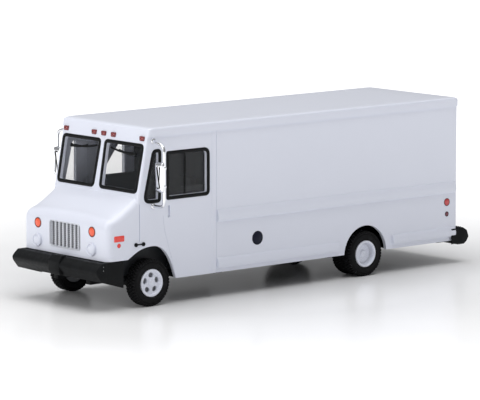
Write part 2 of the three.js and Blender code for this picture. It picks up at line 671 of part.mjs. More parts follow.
function steeringWheel() {
  const rim = new THREE.TorusGeometry(2.7, 0.28, 6, 20);
  const spokes = [0, 1, 2].map((i) => new THREE.BoxGeometry(2.6, 0.5, 0.3).translate(1.3, 0, 0)
    .rotateZ(Math.PI / 2 + i * 2 * Math.PI / 3));
  const boss = bar('z', 0.7, -0.3, 0.3, [0, 0], 16);
  return surface(joined([rim, boss, ...spokes]))
    .rotateY(-Math.PI / 2 + 0.35).translate(screenFootX - 7.8, 8.2, 24.7);
}

// ---- wheels --------------------------------------------------------------------------------
// Tyre profiles run round the section: out along the inner face, over the tread, and back along the bore.
function tyreProfile(width) {
  const bore = rimRadius + seat;
  const shoulder = 0.7;
  return [
    [bore, 0.35], [tyreRadius - 1.6, 0], [tyreRadius - shoulder, 0.15], [tyreRadius, shoulder],
    [tyreRadius, width - shoulder], [tyreRadius - shoulder, width - 0.15], [tyreRadius - 1.6, width],
    [bore, width - 0.35],
  ];
}

// The rear tyre is a moulded pair with a groove between its two treads.
function twinProfile(width) {
  const outer = tyreProfile(width);
  const middle = width / 2;
  const depth = 1.4;
  const groove = [
    [tyreRadius, middle - 0.75], [tyreRadius - depth, middle - 0.35],
    [tyreRadius - depth, middle + 0.35], [tyreRadius, middle + 0.75],
  ];
  return [...outer.slice(0, 4), ...groove, ...outer.slice(4)];
}

function tyre(x, width, profile) {
  const loop = profile(width);
  return turned([...loop, loop[0]], tyreSides).translate(x, wheelFaceY - width, axleHeight);
}

// Hub profiles run from the axis at the back, round the rim, to the axis in front.
const axleCover = 0.8;                     // hub face beyond the end of the axle
function hub(x, width, dish, bossRadius, bossHeight) {
  const face = width - dish;
  const inner = wheelFaceY - width;
  const profile = [
    [0, 0.5], [rimRadius, 0.5], [rimRadius, width - 0.2], [rimRadius - 0.25, width - 0.02],
    [rimRadius - 0.6, width - 0.1], [rimRadius - 0.85, face + 0.1], [bossRadius + 0.35, face],
    [bossRadius, face + bossHeight], [0, face + bossHeight],
  ];
  const bore = bar('y', axleRadius + seat, inner - 1, inner + face - axleCover, [x, axleHeight]);
  return without(solid(turned(profile, 32).translate(x, inner, axleHeight)), [bore]);
}

// Oval recesses in a ring round the face of a hub.
function handHoles(x, count) {
  const ring = 2.15;
  const radius = 0.62;
  const depth = 1.4;
  return Array.from({ length: count }, (_, i) => {
    const angle = Math.PI / 2 + i * 2 * Math.PI / count;
    return new THREE.CylinderGeometry(radius, radius, depth, 12).scale(1.15, 1, 0.8).rotateY(-angle)
      .translate(x + ring * Math.cos(angle), wheelFaceY - 0.9, axleHeight + ring * Math.sin(angle));
  });
}

const frontDish = 0.45;                    // hub faces behind the outer faces of their tyres
const rearDish = 1.5;
const frontHub = () => surface(
  without(hub(frontAxleX, frontTyreWidth, frontDish, 1, 0.35), handHoles(frontAxleX, 5)));
const rearHub = () => surface(hub(rearAxleX, rearTyreWidth, rearDish, 0.9, 0.3));

function axle(x, dish) {
  const end = wheelFaceY - dish - axleCover - seat;
  return bar('y', axleRadius, -end, end, [x, axleHeight]);
}

// ---- mirrors and wipers --------------------------------------------------------------------
const mirrorX = screenFootX - 5.1;
const mirrorY = halfWidth + 4.75;          // the outer run of the bracket
const mirrorTop = height - 3.7;
const mirrorLow = 27.4;

// A bent tube: out from the body, down, and back to the body.
function mirrorBracket() {
  const root = halfWidth + seat;
  const corner = 1.7;
  const point = (y, z) => new THREE.Vector3(mirrorX, y, z);
  const topBend = [
    point(mirrorY - corner, mirrorTop - 0.7), point(mirrorY, mirrorTop - 1),
    point(mirrorY, mirrorTop - 1 - corner),
  ];
  const lowBend = [
    point(mirrorY, mirrorLow + 0.4 + corner), point(mirrorY, mirrorLow + 0.2),
    point(mirrorY - corner, mirrorLow + 0.1),
  ];
  const path = new THREE.CurvePath();
  path.add(new THREE.LineCurve3(point(root, mirrorTop), topBend[0]));
  path.add(new THREE.QuadraticBezierCurve3(...topBend));
  path.add(new THREE.LineCurve3(topBend[2], lowBend[0]));
  path.add(new THREE.QuadraticBezierCurve3(...lowBend));
  path.add(new THREE.LineCurve3(lowBend[2], point(root, mirrorLow)));
  const section = new THREE.Shape().absarc(0, 0, 0.42, 0, 2 * Math.PI);
  const tube = new THREE.ExtrudeGeometry(section, { steps: 26, extrudePath: path, curveSegments: 4 });
  const feet = [mirrorTop, mirrorLow].map((z) => bar('y', 0.8, root, root + 0.45, [mirrorX, z], 16));
  return surface(joined([tube, ...feet]));
}

function mirrorHead() {
  const corners = rectangle(mirrorY - 2.7, mirrorY + 0.75, mirrorTop - 13.6, mirrorTop - 5.4, 0.9);
  return prismX(outline(corners), mirrorX + 0.46, mirrorX + 1.3);
}

// A wiper parked on the glass below the header: a pivot near the outer corner and a blade.
function wiper() {
  const low = -glassRecess + seat;
  const pivot = [halfWidth - 4.6, upRake(headerHeight) - 2.8];
  const tip = [screenPillar + 1.9, pivot[1] + 1];
  const blade = outline([
    [pivot[0], pivot[1] - 0.25], [pivot[0], pivot[1] + 0.25], [tip[0], tip[1] + 0.2], [tip[0], tip[1] - 0.2],
  ]);
  const boss = new THREE.Shape().absarc(pivot[0], pivot[1], 0.5, 0, 2 * Math.PI);
  return surface(joined([onScreen(blade, low, low + 0.3), onScreen(boss, low, low + 0.5)]));
}

// ---- assembly ------------------------------------------------------------------------------
add('body_shell', 'white', bodyShell());
add('chassis_base', 'black', chassisBase());
add('front_bumper', 'black', frontBumper());
add('rear_bumper', 'black', rearBumper());
add('cab_interior', 'interior', cabInterior());
add('steering_wheel', 'black', steeringWheel());
windows.forEach((w) => {
  addPair(`${w.name}_gasket`, 'black', gasket(w));
  addPair(`${w.name}_glass`, 'glass', pane(w));
});
addPair('wiper', 'black', wiper());
add('grille', 'silver', grilleInsert());
addPair('turn_signal', 'amber', lampLens(signal.radius, 0.3, noseX, signal.z));
addPair('headlamp', 'white', lampLens(headlamp.radius, 0.9, noseX, headlamp.z));
markerYs.forEach((y, i) => add(`roof_marker_lamp_${i + 1}`, 'red', markerBlock(y)));
addPair('side_reflector_front', 'amber', prismY(outline(rectangle(...reflector)), halfWidth - pocket + seat,
  halfWidth + 0.15));
addPair('side_marker_lamp', 'amber', sideLens(sideMarker.radius, 0.15, sideMarker.x, sideMarker.z,
  halfWidth));
tailSideLamps.forEach(({ name, z, radius }) => {
  addPair(name, 'red', sideLens(radius, 0.15, tailSideX, z, halfWidth));
});
addPair('tail_lamp', 'red', sideLens(tailLamp.radius, 0.3, 0, 0, 0).rotateZ(Math.PI / 2)
  .translate(tailX, tailLamp.y, tailLamp.z));
addPair('hood_latch', 'black', hoodLatch());
add('fuel_filler_cap', 'black', sideLens(filler.radius, 0.12, filler.x, filler.z, halfWidth));
addPair('mirror_bracket', 'chrome', mirrorBracket());
addPair('mirror_head', 'chrome', mirrorHead());
add('front_axle', 'steel', axle(frontAxleX, frontDish));
add('rear_axle', 'steel', axle(rearAxleX, rearDish));
addPair('front_hub', 'hub', frontHub());
addPair('rear_hub', 'hub', rearHub());
addPair('front_tyre', 'rubber', tyre(frontAxleX, frontTyreWidth, tyreProfile));
addPair('rear_tyre', 'rubber', tyre(rearAxleX, rearTyreWidth, twinProfile));
posts.forEach((post, i) => add(`rivet_${['front', 'rear'][i]}`, 'steel', rivet(post)));

export default truck;
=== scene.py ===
"""Looks of a die-cast miniature mail step van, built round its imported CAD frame.

Metres, +X forward, +Y left, +Z up. Shapes are grids of points worked out as whole arrays, and closed
shapes are joined and cut like castings. MM turns the miniature's millimetres into metres.
"""
import math

import bmesh
import bpy
import numpy as np
from mathutils import Matrix, Vector


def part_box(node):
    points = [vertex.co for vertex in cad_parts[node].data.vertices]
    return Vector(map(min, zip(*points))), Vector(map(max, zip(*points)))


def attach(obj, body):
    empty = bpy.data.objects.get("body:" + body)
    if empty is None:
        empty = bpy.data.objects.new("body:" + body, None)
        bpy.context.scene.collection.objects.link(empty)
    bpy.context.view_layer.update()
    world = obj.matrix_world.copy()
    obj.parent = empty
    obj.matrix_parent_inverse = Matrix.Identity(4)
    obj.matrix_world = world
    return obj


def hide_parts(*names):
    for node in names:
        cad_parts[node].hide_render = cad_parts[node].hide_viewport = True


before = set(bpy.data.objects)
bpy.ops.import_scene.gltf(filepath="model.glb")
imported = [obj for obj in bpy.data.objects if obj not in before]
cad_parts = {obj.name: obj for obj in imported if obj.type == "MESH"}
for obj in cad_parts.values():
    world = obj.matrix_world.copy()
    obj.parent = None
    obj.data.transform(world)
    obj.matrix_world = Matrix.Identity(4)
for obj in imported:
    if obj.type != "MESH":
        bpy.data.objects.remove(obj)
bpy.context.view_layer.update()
MM = 0.001
TURN = 2 * math.pi


# ---- stations, taken from the frame ----
def corners(node):
    return [np.array(corner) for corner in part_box(node)]


def middle(node):
    return sum(corners(node)) / 2


BODY_LOW, BODY_HIGH = corners("body_shell")
MOULDING = 0.4 * MM                          # drip band beyond the skin
HALF = BODY_HIGH[1] - MOULDING               # body centre to side
TAIL, NOSE = BODY_LOW[0], BODY_HIGH[0]
SILL, ROOF = BODY_LOW[2], BODY_HIGH[2]
RAIL_PROUD = 0.75 * MM                       # rub rails beyond the skin
WALL = 1.1 * MM                              # thickness of the casting
FRONT_AXLE, REAR_AXLE = middle("front_axle"), middle("rear_axle")
TYRE_RADIUS = (corners("front_tyre_left")[1] - FRONT_AXLE)[2]
ARCH_RADIUS = TYRE_RADIUS + 1.72 * MM
WHEEL_FACE = corners("front_tyre_left")[1][1]
CAB_SEAM = corners("cab_interior")[0][0] + 1 * MM
COWL = 30.3 * MM                             # where the hood meets the windscreens
SCREEN_FOOT = NOSE - 10.8 * MM
RAKE = math.radians(11.1)
NOSE_SEAM = SCREEN_FOOT - 0.33 * MM          # joint between nose and cab
NOSE_LOW = 13.6 * MM                         # lower edge of the nose
NOSE_TOP = 24.6 * MM                         # where its front face turns into the hood
DRIP_LOW = ROOF - 2.6 * MM
GASKET_WIDTH = 1.0 * MM
GASKET_PROUD = 0.2 * MM
GLASS_DEPTH = 0.85 * MM


def screen_x(z):
    """The raked front: it leans back by tan(rake) for each step up from the cowl."""
    return SCREEN_FOOT - (z - COWL) * math.tan(RAKE)


# ---- outlines ----
def outline(points, steps=8):
    """A closed outline through corners (x, y, rounding). A rounded corner from a to b round c is
    (1 - t)^2 a + 2t(1 - t) c + t^2 b."""
    corner = np.array([p[:2] for p in points], float)
    rounding = np.array([p[2] if len(p) > 2 else 0 for p in points])
    towards = np.stack([np.roll(corner, 1, 0) - corner, np.roll(corner, -1, 0) - corner])
    towards /= np.linalg.norm(towards, axis=2, keepdims=True)
    start, end = corner + towards * rounding[:, None]
    t = np.linspace(0, 1, steps + 1)[:, None]
    arcs = [(1 - t) ** 2 * a + 2 * t * (1 - t) * c + t ** 2 * b if r > 0 else c[None]
            for a, b, c, r in zip(start, end, corner, rounding)]
    return np.concatenate(arcs)


def rectangle(x0, x1, y0, y1, rounding=0.0, steps=8):
    return outline([(x0, y0, rounding), (x1, y0, rounding), (x1, y1, rounding), (x0, y1, rounding)], steps)


def mitres(points):
    """For each point of a closed outline, the step that moves both of its edges in by one: the sum of
    the two inward normals over one plus their dot product."""
    edge = np.roll(points, -1, 0) - points
    edge /= np.linalg.norm(edge, axis=1, keepdims=True)
    normal = np.stack([-edge[:, 1], edge[:, 0]], 1)
    before = np.roll(normal, 1, 0)
    turn = np.sign(np.sum(points[:, 0] * np.roll(points[:, 1], -1) - np.roll(points[:, 0], -1) * points[:,
                                                                                                        1]))
    return turn * (normal + before) / (1 + np.sum(normal * before, 1, keepdims=True))


def drawn_in(points, distance):
    return points + mitres(points) * distance


# ---- closed shapes: (points, face groups) ----
def outward(points, groups):
    """The shape with its faces pointing out: the sum of a.(b x c) over its triangles is positive."""
    volume = 0.0
    for group in groups:
        a = points[group[:, 0]]
        for k in range(1, group.shape[1] - 1):
            volume += np.sum(a * np.cross(points[group[:, k]], points[group[:, k + 1]]))
    return points, groups if volume > 0 else [group[:, ::-1] for group in groups]


def lattice(grid, along=False, ends=True):
    """Faces over a grid of points. Each row closes on itself; `along` joins the last row to the first,
    and `ends` puts one face on each end row."""
    rows, columns = grid.shape[:2]
    index = np.arange(rows * columns).reshape(rows, columns)
    ring = np.hstack([index, index[:, :1]])
    ring = np.vstack([ring, ring[:1]]) if along else ring
    quads = np.stack([ring[:-1, :-1], ring[:-1, 1:], ring[1:, 1:], ring[1:, :-1]], -1).reshape(-1, 4)
    caps = [index[:1, ::-1], index[-1:]] if ends and not along else []
    return outward(grid.reshape(-1, 3), [quads, *caps])


def mirrored(shape):
    points, groups = shape
    return outward(points * (1, -1, 1), groups)


def together(*shapes):
    """Closed shapes kept side by side in one mesh."""
    starts = np.cumsum([0] + [len(points) for points, _ in shapes])
    groups = [group + start for (_, groups), start in zip(shapes, starts) for group in groups]
    return np.concatenate([points for points, _ in shapes]), groups


def along_x(u, v, w):
    return np.stack([w, u, v], -1)


def along_y(u, v, w):
    return np.stack([u, w, v], -1)


def along_z(u, v, w):
    return np.stack([u, v, w], -1)


def on_screen(u, v, w):
    """The raked plane of the windscreens: u to the left, v up the slope from the cowl, w outwards."""
    cos, sin = math.cos(RAKE), math.sin(RAKE)
    return np.stack([SCREEN_FOOT + w * cos - v * sin, u, COWL + v * cos + w * sin], -1)


def on_side(u, v, w):
    """The left side of the body: u forwards, v up, w outwards."""
    return np.stack([u, HALF + w, v], -1)


def slab(points, low, high, place, edge=0.0, steps=3, back_edge=None):
    """An outline carried from low to high, with rounded rims: at angle a it is drawn in by
    edge (1 - sin a) and stands edge (1 - cos a) inside the end."""
    back_edge = edge if back_edge is None else back_edge
    angle = np.linspace(0, math.pi / 2, steps + 1) if edge or back_edge else np.array([math.pi / 2])
    inset = np.concatenate([back_edge * (1 - np.sin(angle)), edge * (1 - np.sin(angle[::-1]))])
    station = np.concatenate([low + back_edge * (1 - np.cos(angle)), high - edge * (1 - np.cos(angle[::-1]))])
    rows = points[None] + inset[:, None, None] * mitres(points)[None]
    return lattice(place(rows[..., 0], rows[..., 1], np.broadcast_to(station[:, None], rows.shape[:2])))


def box(x0, x1, y0, y1, z0, z1, edge=0.0):
    return slab(rectangle(x0, x1, y0, y1, edge, 3), z0, z1, along_z, edge)


def turned(profile, centre, axis="y", sides=64, closed=False):
    """A profile of (radius, station) turned about an axis: centre + radius (cos a, sin a) + station."""
    angle = np.linspace(0, TURN, sides, endpoint=False)
    radius, station = (np.array(profile, float)[:, k, None] for k in (0, 1))
    place = {"x": along_x, "y": along_y, "z": along_z}[axis]
    grid = place(radius * np.cos(angle), radius * np.sin(angle), station + 0 * angle)
    return lattice(grid + np.array(centre), along=closed, ends=False)


def tube(path, radius, sides=14):
    """A circle carried along a path: point + radius (cos a n + sin a b), where b = t x n stays square to
    the path's tangent t, and n starts from the direction least in line with it."""
    tangent = np.gradient(path, axis=0)
    tangent /= np.linalg.norm(tangent, axis=1, keepdims=True)
    up = np.eye(3)[np.argmin(np.abs(tangent).max(0))]
    normal = np.cross(up, tangent)
    normal /= np.linalg.norm(normal, axis=1, keepdims=True)
    binormal = np.cross(tangent, normal)
    angle = np.linspace(0, TURN, sides, endpoint=False)[None, :, None]
    radius = np.broadcast_to(radius, len(path))[:, None, None]
    return lattice(path[:, None] + radius * (np.cos(angle) * normal[:, None]
                                             + np.sin(angle) * binormal[:, None]))


def rounded_path(points, radius, steps=8):
    """A path through corner points, each rounded by (1 - t)^2 a + 2t(1 - t) c + t^2 b."""
    points = np.array(points, float)
    t = np.linspace(0, 1, steps + 1)[:, None]
    bends = []
    for before, corner, after in zip(points[:-2], points[1:-1], points[2:]):
        a = corner + (before - corner) / np.linalg.norm(before - corner) * radius
        b = corner + (after - corner) / np.linalg.norm(after - corner) * radius
        bends.append((1 - t) ** 2 * a + 2 * t * (1 - t) * corner + t ** 2 * b)
    return np.concatenate([points[:1], *bends, points[-1:]])


def bead(points, section, place):
    """A section (across, out) carried round a closed outline: outline + across * inward mitre, out along
    the surface's normal."""
    rows = points[:, None] + section[None, :, :1] * mitres(points)[:, None]
    return lattice(place(rows[..., 0], rows[..., 1], np.broadcast_to(section[:, 1], rows.shape[:2])),
                   along=True)


# ---- meshes and pieces ----
def mesh_of(shape, name="work"):
    points, groups = shape
    mesh = bpy.data.meshes.new(name)
    mesh.from_pydata(points.tolist(), [], [face for group in groups for face in group.tolist()])
    merged(mesh)
    return mesh


def merged(mesh, distance=1e-7):
    work = bmesh.new()
    work.from_mesh(mesh)
    bmesh.ops.remove_doubles(work, verts=work.verts, dist=distance)
    bmesh.ops.dissolve_degenerate(work, edges=work.edges, dist=distance)
    work.to_mesh(mesh)
    work.free()


def finished(mesh, modifiers):
    """The mesh that a stack of modifiers makes, as (kind, {setting: value}) pairs."""
    thing = bpy.data.objects.new("work", mesh)
    bpy.context.scene.collection.objects.link(thing)
    for kind, settings in modifiers:
        modifier = thing.modifiers.new(kind, kind)
        for key, value in settings.items():
            setattr(modifier, key, value)
    made = bpy.data.meshes.new_from_object(thing.evaluated_get(bpy.context.evaluated_depsgraph_get()))
    bpy.data.objects.remove(thing)
    return made


def carved(mesh, steps):
    """The mesh after each (operation, shape) has been added or cut, in turn."""
    tools = []
    for operation, shape in steps:
        tool = bpy.data.objects.new("tool", mesh_of(shape))
        bpy.context.scene.collection.objects.link(tool)
        tool.hide_render = True
        tools.append((operation, tool))
    made = finished(mesh, [
        ("BOOLEAN", {"operation": operation, "object": tool, "solver": "MANIFOLD"}) for operation,
        tool in tools])
    for _, tool in tools:
        bpy.data.objects.remove(tool)
    merged(made, 1e-6)
    return made


def softened(mesh, width, limit=35, segments=2):
    """The mesh with its hard edges rounded over by a width."""
    return finished(mesh, [("BEVEL", {
        "width": width, "segments": segments, "limit_method": "ANGLE", "angle_limit": math.radians(limit),
        "use_clamp_overlap": True, "harden_normals": False, "miter_outer": "MITER_ARC"})])


def piece(name, mesh, finish, body="truck", nodes=(), smooth=35):
    """One finished object: it rides on a body and stands for the CAD nodes that it replaces."""
    thing = bpy.data.objects.new(name, mesh)
    mesh.name = name
    bpy.context.scene.collection.objects.link(thing)
    mesh.materials.clear()
    mesh.materials.append(FINISHES[finish])
    mesh.shade_smooth()
    mesh.set_sharp_from_angle(angle=math.radians(smooth))
    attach(thing, body)
    if nodes:
        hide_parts(*nodes)
    return thing


def pair(name, make, finish, body="truck", node=None, smooth=35, rim=None):
    """A piece on the left side and its twin on the right. `rim` gives each point a share, 0 to 1."""
    for side, hand in (("left", 1), ("right", -1)):
        mesh = mesh_of(make() if hand > 0 else mirrored(make()))
        if rim:
            mark(mesh, rim(points_of(mesh) * (1, hand, 1)))
        piece(f"{name}_{side}", mesh, finish, body, [f"{node or name}_{side}"], smooth)


def points_of(mesh):
    flat = np.empty(len(mesh.vertices) * 3)
    mesh.vertices.foreach_get("co", flat)
    return flat.reshape(-1, 3)


def mark(mesh, values):
    """Keeps a value for each point on the mesh, as the attribute that a two-tone finish follows. On the
    grille and the hubs it places painted shade.
    """
    share = mesh.attributes.new("rim", "FLOAT", "POINT")
    share.data.foreach_set("value", values.astype(np.float32))


def refined(name, finish, body="truck", width=0.12 * MM, smooth=35):
    """A CAD node's own shape, merged, cleared of flat joints and with its hard edges rounded over."""
    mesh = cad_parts[name].data.copy()
    mesh.materials.clear()
    for attribute in [a.name for a in mesh.attributes if a.name not in ("position", ".edge_verts",
                      ".corner_vert", ".corner_edge", "material_index", "sharp_face")]:
        mesh.attributes.remove(mesh.attributes[attribute])
    work = bmesh.new()
    work.from_mesh(mesh)
    bmesh.ops.remove_doubles(work, verts=work.verts, dist=2e-6)
    bmesh.ops.dissolve_limit(work, angle_limit=math.radians(1), verts=work.verts, edges=work.edges)
    work.to_mesh(mesh)
    work.free()
    mesh = softened(mesh, width) if width else mesh
    return piece(f"{name}_cast", mesh, finish, body, [name], smooth)


# ---- finishes ----
def finish_nodes(name, colour, roughness, settings=()):
    material = bpy.data.materials.new(name)
    material.use_nodes = True
    nodes, links = material.node_tree.nodes, material.node_tree.links
    shader = nodes["Principled BSDF"]
    shader.inputs["Base Color"].default_value = (*colour, 1)
    shader.inputs["Roughness"].default_value = roughness
    for key, value in settings:
        shader.inputs[key].default_value = value
    return material, nodes, links, shader


def noise(nodes, links, size, detail=3.0, seed=(0, 0, 0)):
    """Noise on the piece's own Object coordinates, with features of a size in metres."""
    place = nodes.new("ShaderNodeTexCoord")
    shift = nodes.new("ShaderNodeMapping")
    shift.inputs["Location"].default_value = seed
    pattern = nodes.new("ShaderNodeTexNoise")
    pattern.inputs["Scale"].default_value = 1 / size
    pattern.inputs["Detail"].default_value = detail
    links.new(place.outputs["Object"], shift.inputs["Vector"])
    links.new(shift.outputs["Vector"], pattern.inputs["Vector"])
    return pattern


def ranged(nodes, links, source, low, high, start=0.3, end=0.7):
    spread = nodes.new("ShaderNodeMapRange")
    for key, value in (("From Min", start), ("From Max", end), ("To Min", low), ("To Max", high)):
        spread.inputs[key].default_value = value
    links.new(source, spread.inputs["Value"])
    return spread.outputs["Result"]


def tinted(nodes, links, share, first, second):
    mix = nodes.new("ShaderNodeMix")
    mix.data_type = "RGBA"
    mix.inputs["A"].default_value = (*first, 1)
    mix.inputs["B"].default_value = (*second, 1)
    links.new(share, mix.inputs["Factor"])
    return mix.outputs["Result"]


def bumped(nodes, links, height, distance, strength, shader):
    bump = nodes.new("ShaderNodeBump")
    bump.inputs["Strength"].default_value = strength
    bump.inputs["Distance"].default_value = distance
    links.new(height, bump.inputs["Height"])
    links.new(bump.outputs["Normal"], shader.inputs["Normal"])


def coated(name, colour, shade, roughness, grain, depth, settings=(), spread=0.05, blotch=5 * MM):
    """A finish whose colour drifts to a second shade and whose gloss varies. Its skin has a grain, unless
    the grain has no depth."""
    material, nodes, links, shader = finish_nodes(name, colour, roughness, settings)
    drift = noise(nodes, links, blotch, 4, (0.3, 0.1, 0.7))
    links.new(tinted(nodes, links, ranged(nodes, links, drift.outputs["Fac"], 0, 1), colour, shade),
              shader.inputs["Base Color"])
    wear = noise(nodes, links, blotch / 3, 5, (0.9, 0.4, 0.2))
    links.new(ranged(nodes, links, wear.outputs["Fac"], roughness - spread, roughness + spread),
              shader.inputs["Roughness"])
    if depth:
        skin = noise(nodes, links, grain, 2, (0.5, 0.8, 0.1))
        bumped(nodes, links, skin.outputs["Fac"], depth, 1.0, shader)
    return material


def two_tone_and_painted_shade(name, colour, edge, roughness=0.16, settings=()):
    """Paint that turns to a second colour where the piece's own rim attribute rises. On the lamps that is a
    second paint colour; on the grille and the hubs it is painted shade in their recesses.
    """
    material, nodes, links, shader = finish_nodes(name, colour, roughness, settings)
    share = nodes.new("ShaderNodeAttribute")
    share.attribute_name = "rim"
    flecks = noise(nodes, links, 0.25 * MM, 3, (0.2, 0.6, 0.4))
    light = tinted(nodes, links, ranged(nodes, links, flecks.outputs["Fac"], 0, 1), colour,
                   tuple(min(1, 1.25 * c + 0.02) for c in colour))
    mix = nodes.new("ShaderNodeMix")
    mix.data_type = "RGBA"
    mix.inputs["B"].default_value = (*edge, 1)
    links.new(light, mix.inputs["A"])
    links.new(share.outputs["Fac"], mix.inputs["Factor"])
    links.new(mix.outputs["Result"], shader.inputs["Base Color"])
    return material


def glazing():
    """Thin clear plastic: mostly see-through, with a slight haze in its gloss."""
    material, nodes, links, shader = finish_nodes("clear_glazing", (0.05, 0.055, 0.06), 0.02, [
        ("Alpha", 0.14), ("Specular IOR Level", 0.8)])
    haze = noise(nodes, links, 3 * MM, 3, (0.4, 0.4, 0.9))
    links.new(ranged(nodes, links, haze.outputs["Fac"], 0.0, 0.03), shader.inputs["Roughness"])
    return material


FINISHES = {
    "body_white": coated("body_white", (0.75, 0.775, 0.87), (0.742, 0.767, 0.862), 0.3, 1.5 * MM, 0,
                         [("Coat Weight", 0.2), ("Coat Roughness", 0.15)], 0.015, 12 * MM),
    "black_plastic": coated("black_plastic", (0.006, 0.0065, 0.007), (0.009, 0.01, 0.011), 0.5, 0.16 * MM,
                            0.005 * MM, [("Specular IOR Level", 0.1)], 0.06, 3 * MM),
    "window_gasket": coated("window_gasket", (0.005, 0.0055, 0.006), (0.008, 0.0085, 0.009), 0.42, 0.2 * MM,
                            0.003 * MM, [("Specular IOR Level", 0.12)], 0.06, 2 * MM),
    "navy_plastic": coated("navy_plastic", (0.01, 0.011, 0.022), (0.014, 0.016, 0.03), 0.36, 0.2 * MM,
                           0.004 * MM, [("Specular IOR Level", 0.1)], 0.06, 2 * MM),
    "interior_plastic": coated("interior_plastic", (0.02, 0.022, 0.026), (0.032, 0.035, 0.04), 0.6, 0.2 * MM,
                               0.01 * MM, blotch=4 * MM),
    "clear_glazing": glazing(),
    "chrome_plastic": coated("chrome_plastic", (0.83, 0.84, 0.86), (0.74, 0.75, 0.78), 0.13, 0.4 * MM,
                             0.002 * MM, [("Metallic", 1.0)], 0.05, 1.5 * MM),
    # silver bars; the second colour is painted shade in the grille's recesses
    "grille_silver": two_tone_and_painted_shade("grille_silver", (0.62, 0.635, 0.68), (0.07, 0.072, 0.08), 0.4,
                              [("Metallic", 0.15)]),
    "steel": coated("steel", (0.6, 0.61, 0.63), (0.5, 0.51, 0.53), 0.3, 0.15 * MM, 0.004 * MM,
                    [("Metallic", 1.0)], 0.08, 1 * MM),
    # light grey plastic; the second colour is painted shade in the hubs' hand holes and dish
    "hub_plastic": two_tone_and_painted_shade("hub_plastic", (0.68, 0.7, 0.78), (0.19, 0.195, 0.215), 0.36),
    "tyre_rubber": coated("tyre_rubber", (0.007, 0.007, 0.0075), (0.012, 0.012, 0.013), 0.72, 0.12 * MM,
                          0.01 * MM, [("Specular IOR Level", 0.12)], 0.08, 1.2 * MM),
    "amber_lens": two_tone_and_painted_shade("amber_lens", (0.86, 0.095, 0.03), (0.1, 0.016, 0.014), 0.2,
                           [("Coat Weight", 0.4)]),
    "side_lens": two_tone_and_painted_shade("side_lens", (0.74, 0.045, 0.03), (0.3, 0.02, 0.015), 0.25, [("Coat Weight", 0.3)]),
    "red_lens": two_tone_and_painted_shade("red_lens", (0.5, 0.025, 0.03), (0.09, 0.006, 0.01), 0.2, [("Coat Weight", 0.4)]),
    "maroon_lens": two_tone_and_painted_shade("maroon_lens", (0.13, 0.012, 0.03), (0.05, 0.006, 0.012), 0.25,
                            [("Coat Weight", 0.3)]),
    "dark_red_lens": two_tone_and_painted_shade("dark_red_lens", (0.74, 0.17, 0.16), (0.16, 0.008, 0.015), 0.2,
                              [("Coat Weight", 0.4)]),
}


# ---- window outlines ----
def screen_outline():
    top = (ROOF - 4.5 * MM - COWL) / math.cos(RAKE)
    return outline([(1.05 * MM, 0.75 * MM, 1.6 * MM), (HALF - 0.95 * MM, 0.75 * MM, 1.6 * MM),
                    (HALF - 0.75 * MM, top, 1.6 * MM), (0.65 * MM, top, 1.6 * MM)])


def door_outline():
    low, high = corners("door_window_gasket_left")
    return outline([(low[0], low[2], 1.6 * MM), (high[0], low[2], 0.8 * MM), (high[0], high[2], 0.8 * MM),
                    (low[0], high[2], 2.2 * MM)])


def quarter_outline():
    low, high = corners("quarter_window_gasket_left")
    rear = CAB_SEAM + 19.7 * MM
    return outline([(rear, low[2], 1.3 * MM), (screen_x(low[2]) - 1.75 * MM, low[2], 3 * MM),
                    (screen_x(high[2] - 0.9 * MM) - 2.65 * MM, high[2], 1.4 * MM),
                    (rear - 0.2 * MM, high[2], 1.4 * MM)])


WINDOWS = {
    "windscreen": (screen_outline(), on_screen),
    "door_window": (door_outline(), on_side),
    "quarter_window": (quarter_outline(), on_side),
}


# ---- body casting ----
def box_rows(inward, floor, band):
    """Plan outlines stacked from the sill to the roof. Over the roof's edge they draw in by
    r (1 - cos a) and rise by r sin a, and then they shrink to the middle while the crown rises by
    c (1 - s^2). The sides step out by `band` below the roof's edge."""
    radius, crown = max(0.75 * MM - inward, 0.3 * MM), 0.1 * MM
    top = ROOF - inward - crown
    angle = np.linspace(0, math.pi / 2, 9)
    levels = [(floor, 0, 0), (DRIP_LOW, 0, 0)] + [(DRIP_LOW, 0, band)] * bool(band)
    levels += [(top - radius + radius * math.sin(a), radius * (1 - math.cos(a)), band) for a in angle]
    rows = []
    for z, drawn, out in levels:
        half = HALF - inward - drawn + out
        front = screen_x(z) - inward / math.cos(RAKE) - 2.4 * drawn
        tail, nose = (max(r - inward, 0.2 * MM) + 0.6 * drawn for r in (0.5 * MM, 0.8 * MM))
        rear = TAIL + inward + drawn
        plan = outline([(rear, -half, tail), (front, -half, nose), (front, half, nose), (rear, half, tail)],
                       6)
        rows.append(np.column_stack([plan, np.full(len(plan), z)]))
    rim = rows[-1]
    centre = rim.mean(0)
    for share in (0.85, 0.6, 0.3, 0.05):
        row = centre + (rim - centre) * (share, share, 1)
        row[:, 2] = top + crown * (1 - share ** 2)
        rows.append(row)
    return lattice(np.stack(rows))


def nose_side(inward):
    """The nose in profile: up the front face, round its upper edge and along the hood to the cowl."""
    face, top, cowl = NOSE - inward, NOSE_TOP - inward, COWL - inward
    t = np.linspace(0, 1, 13)[:, None]
    rolled = [np.array(p) for p in ((face, top - 3 * MM), (face, top + 0.1 * MM),
                                    (face - 2.4 * MM, top + 0.75 * MM))]
    sweep = [rolled[2], np.array((SCREEN_FOOT + 0.56 * (NOSE - SCREEN_FOOT), top + 1.55 * MM)),
             np.array((SCREEN_FOOT - inward, cowl))]
    curve = [(1 - t) ** 2 * a + 2 * t * (1 - t) * c + t ** 2 * b for a, c, b in (rolled, sweep)]
    rear = CAB_SEAM + 6 * MM
    return np.concatenate([[(rear, NOSE_LOW - 6 * MM), (face, NOSE_LOW - 6 * MM)], curve[0], curve[1][1:],
                           [(rear, cowl)]])


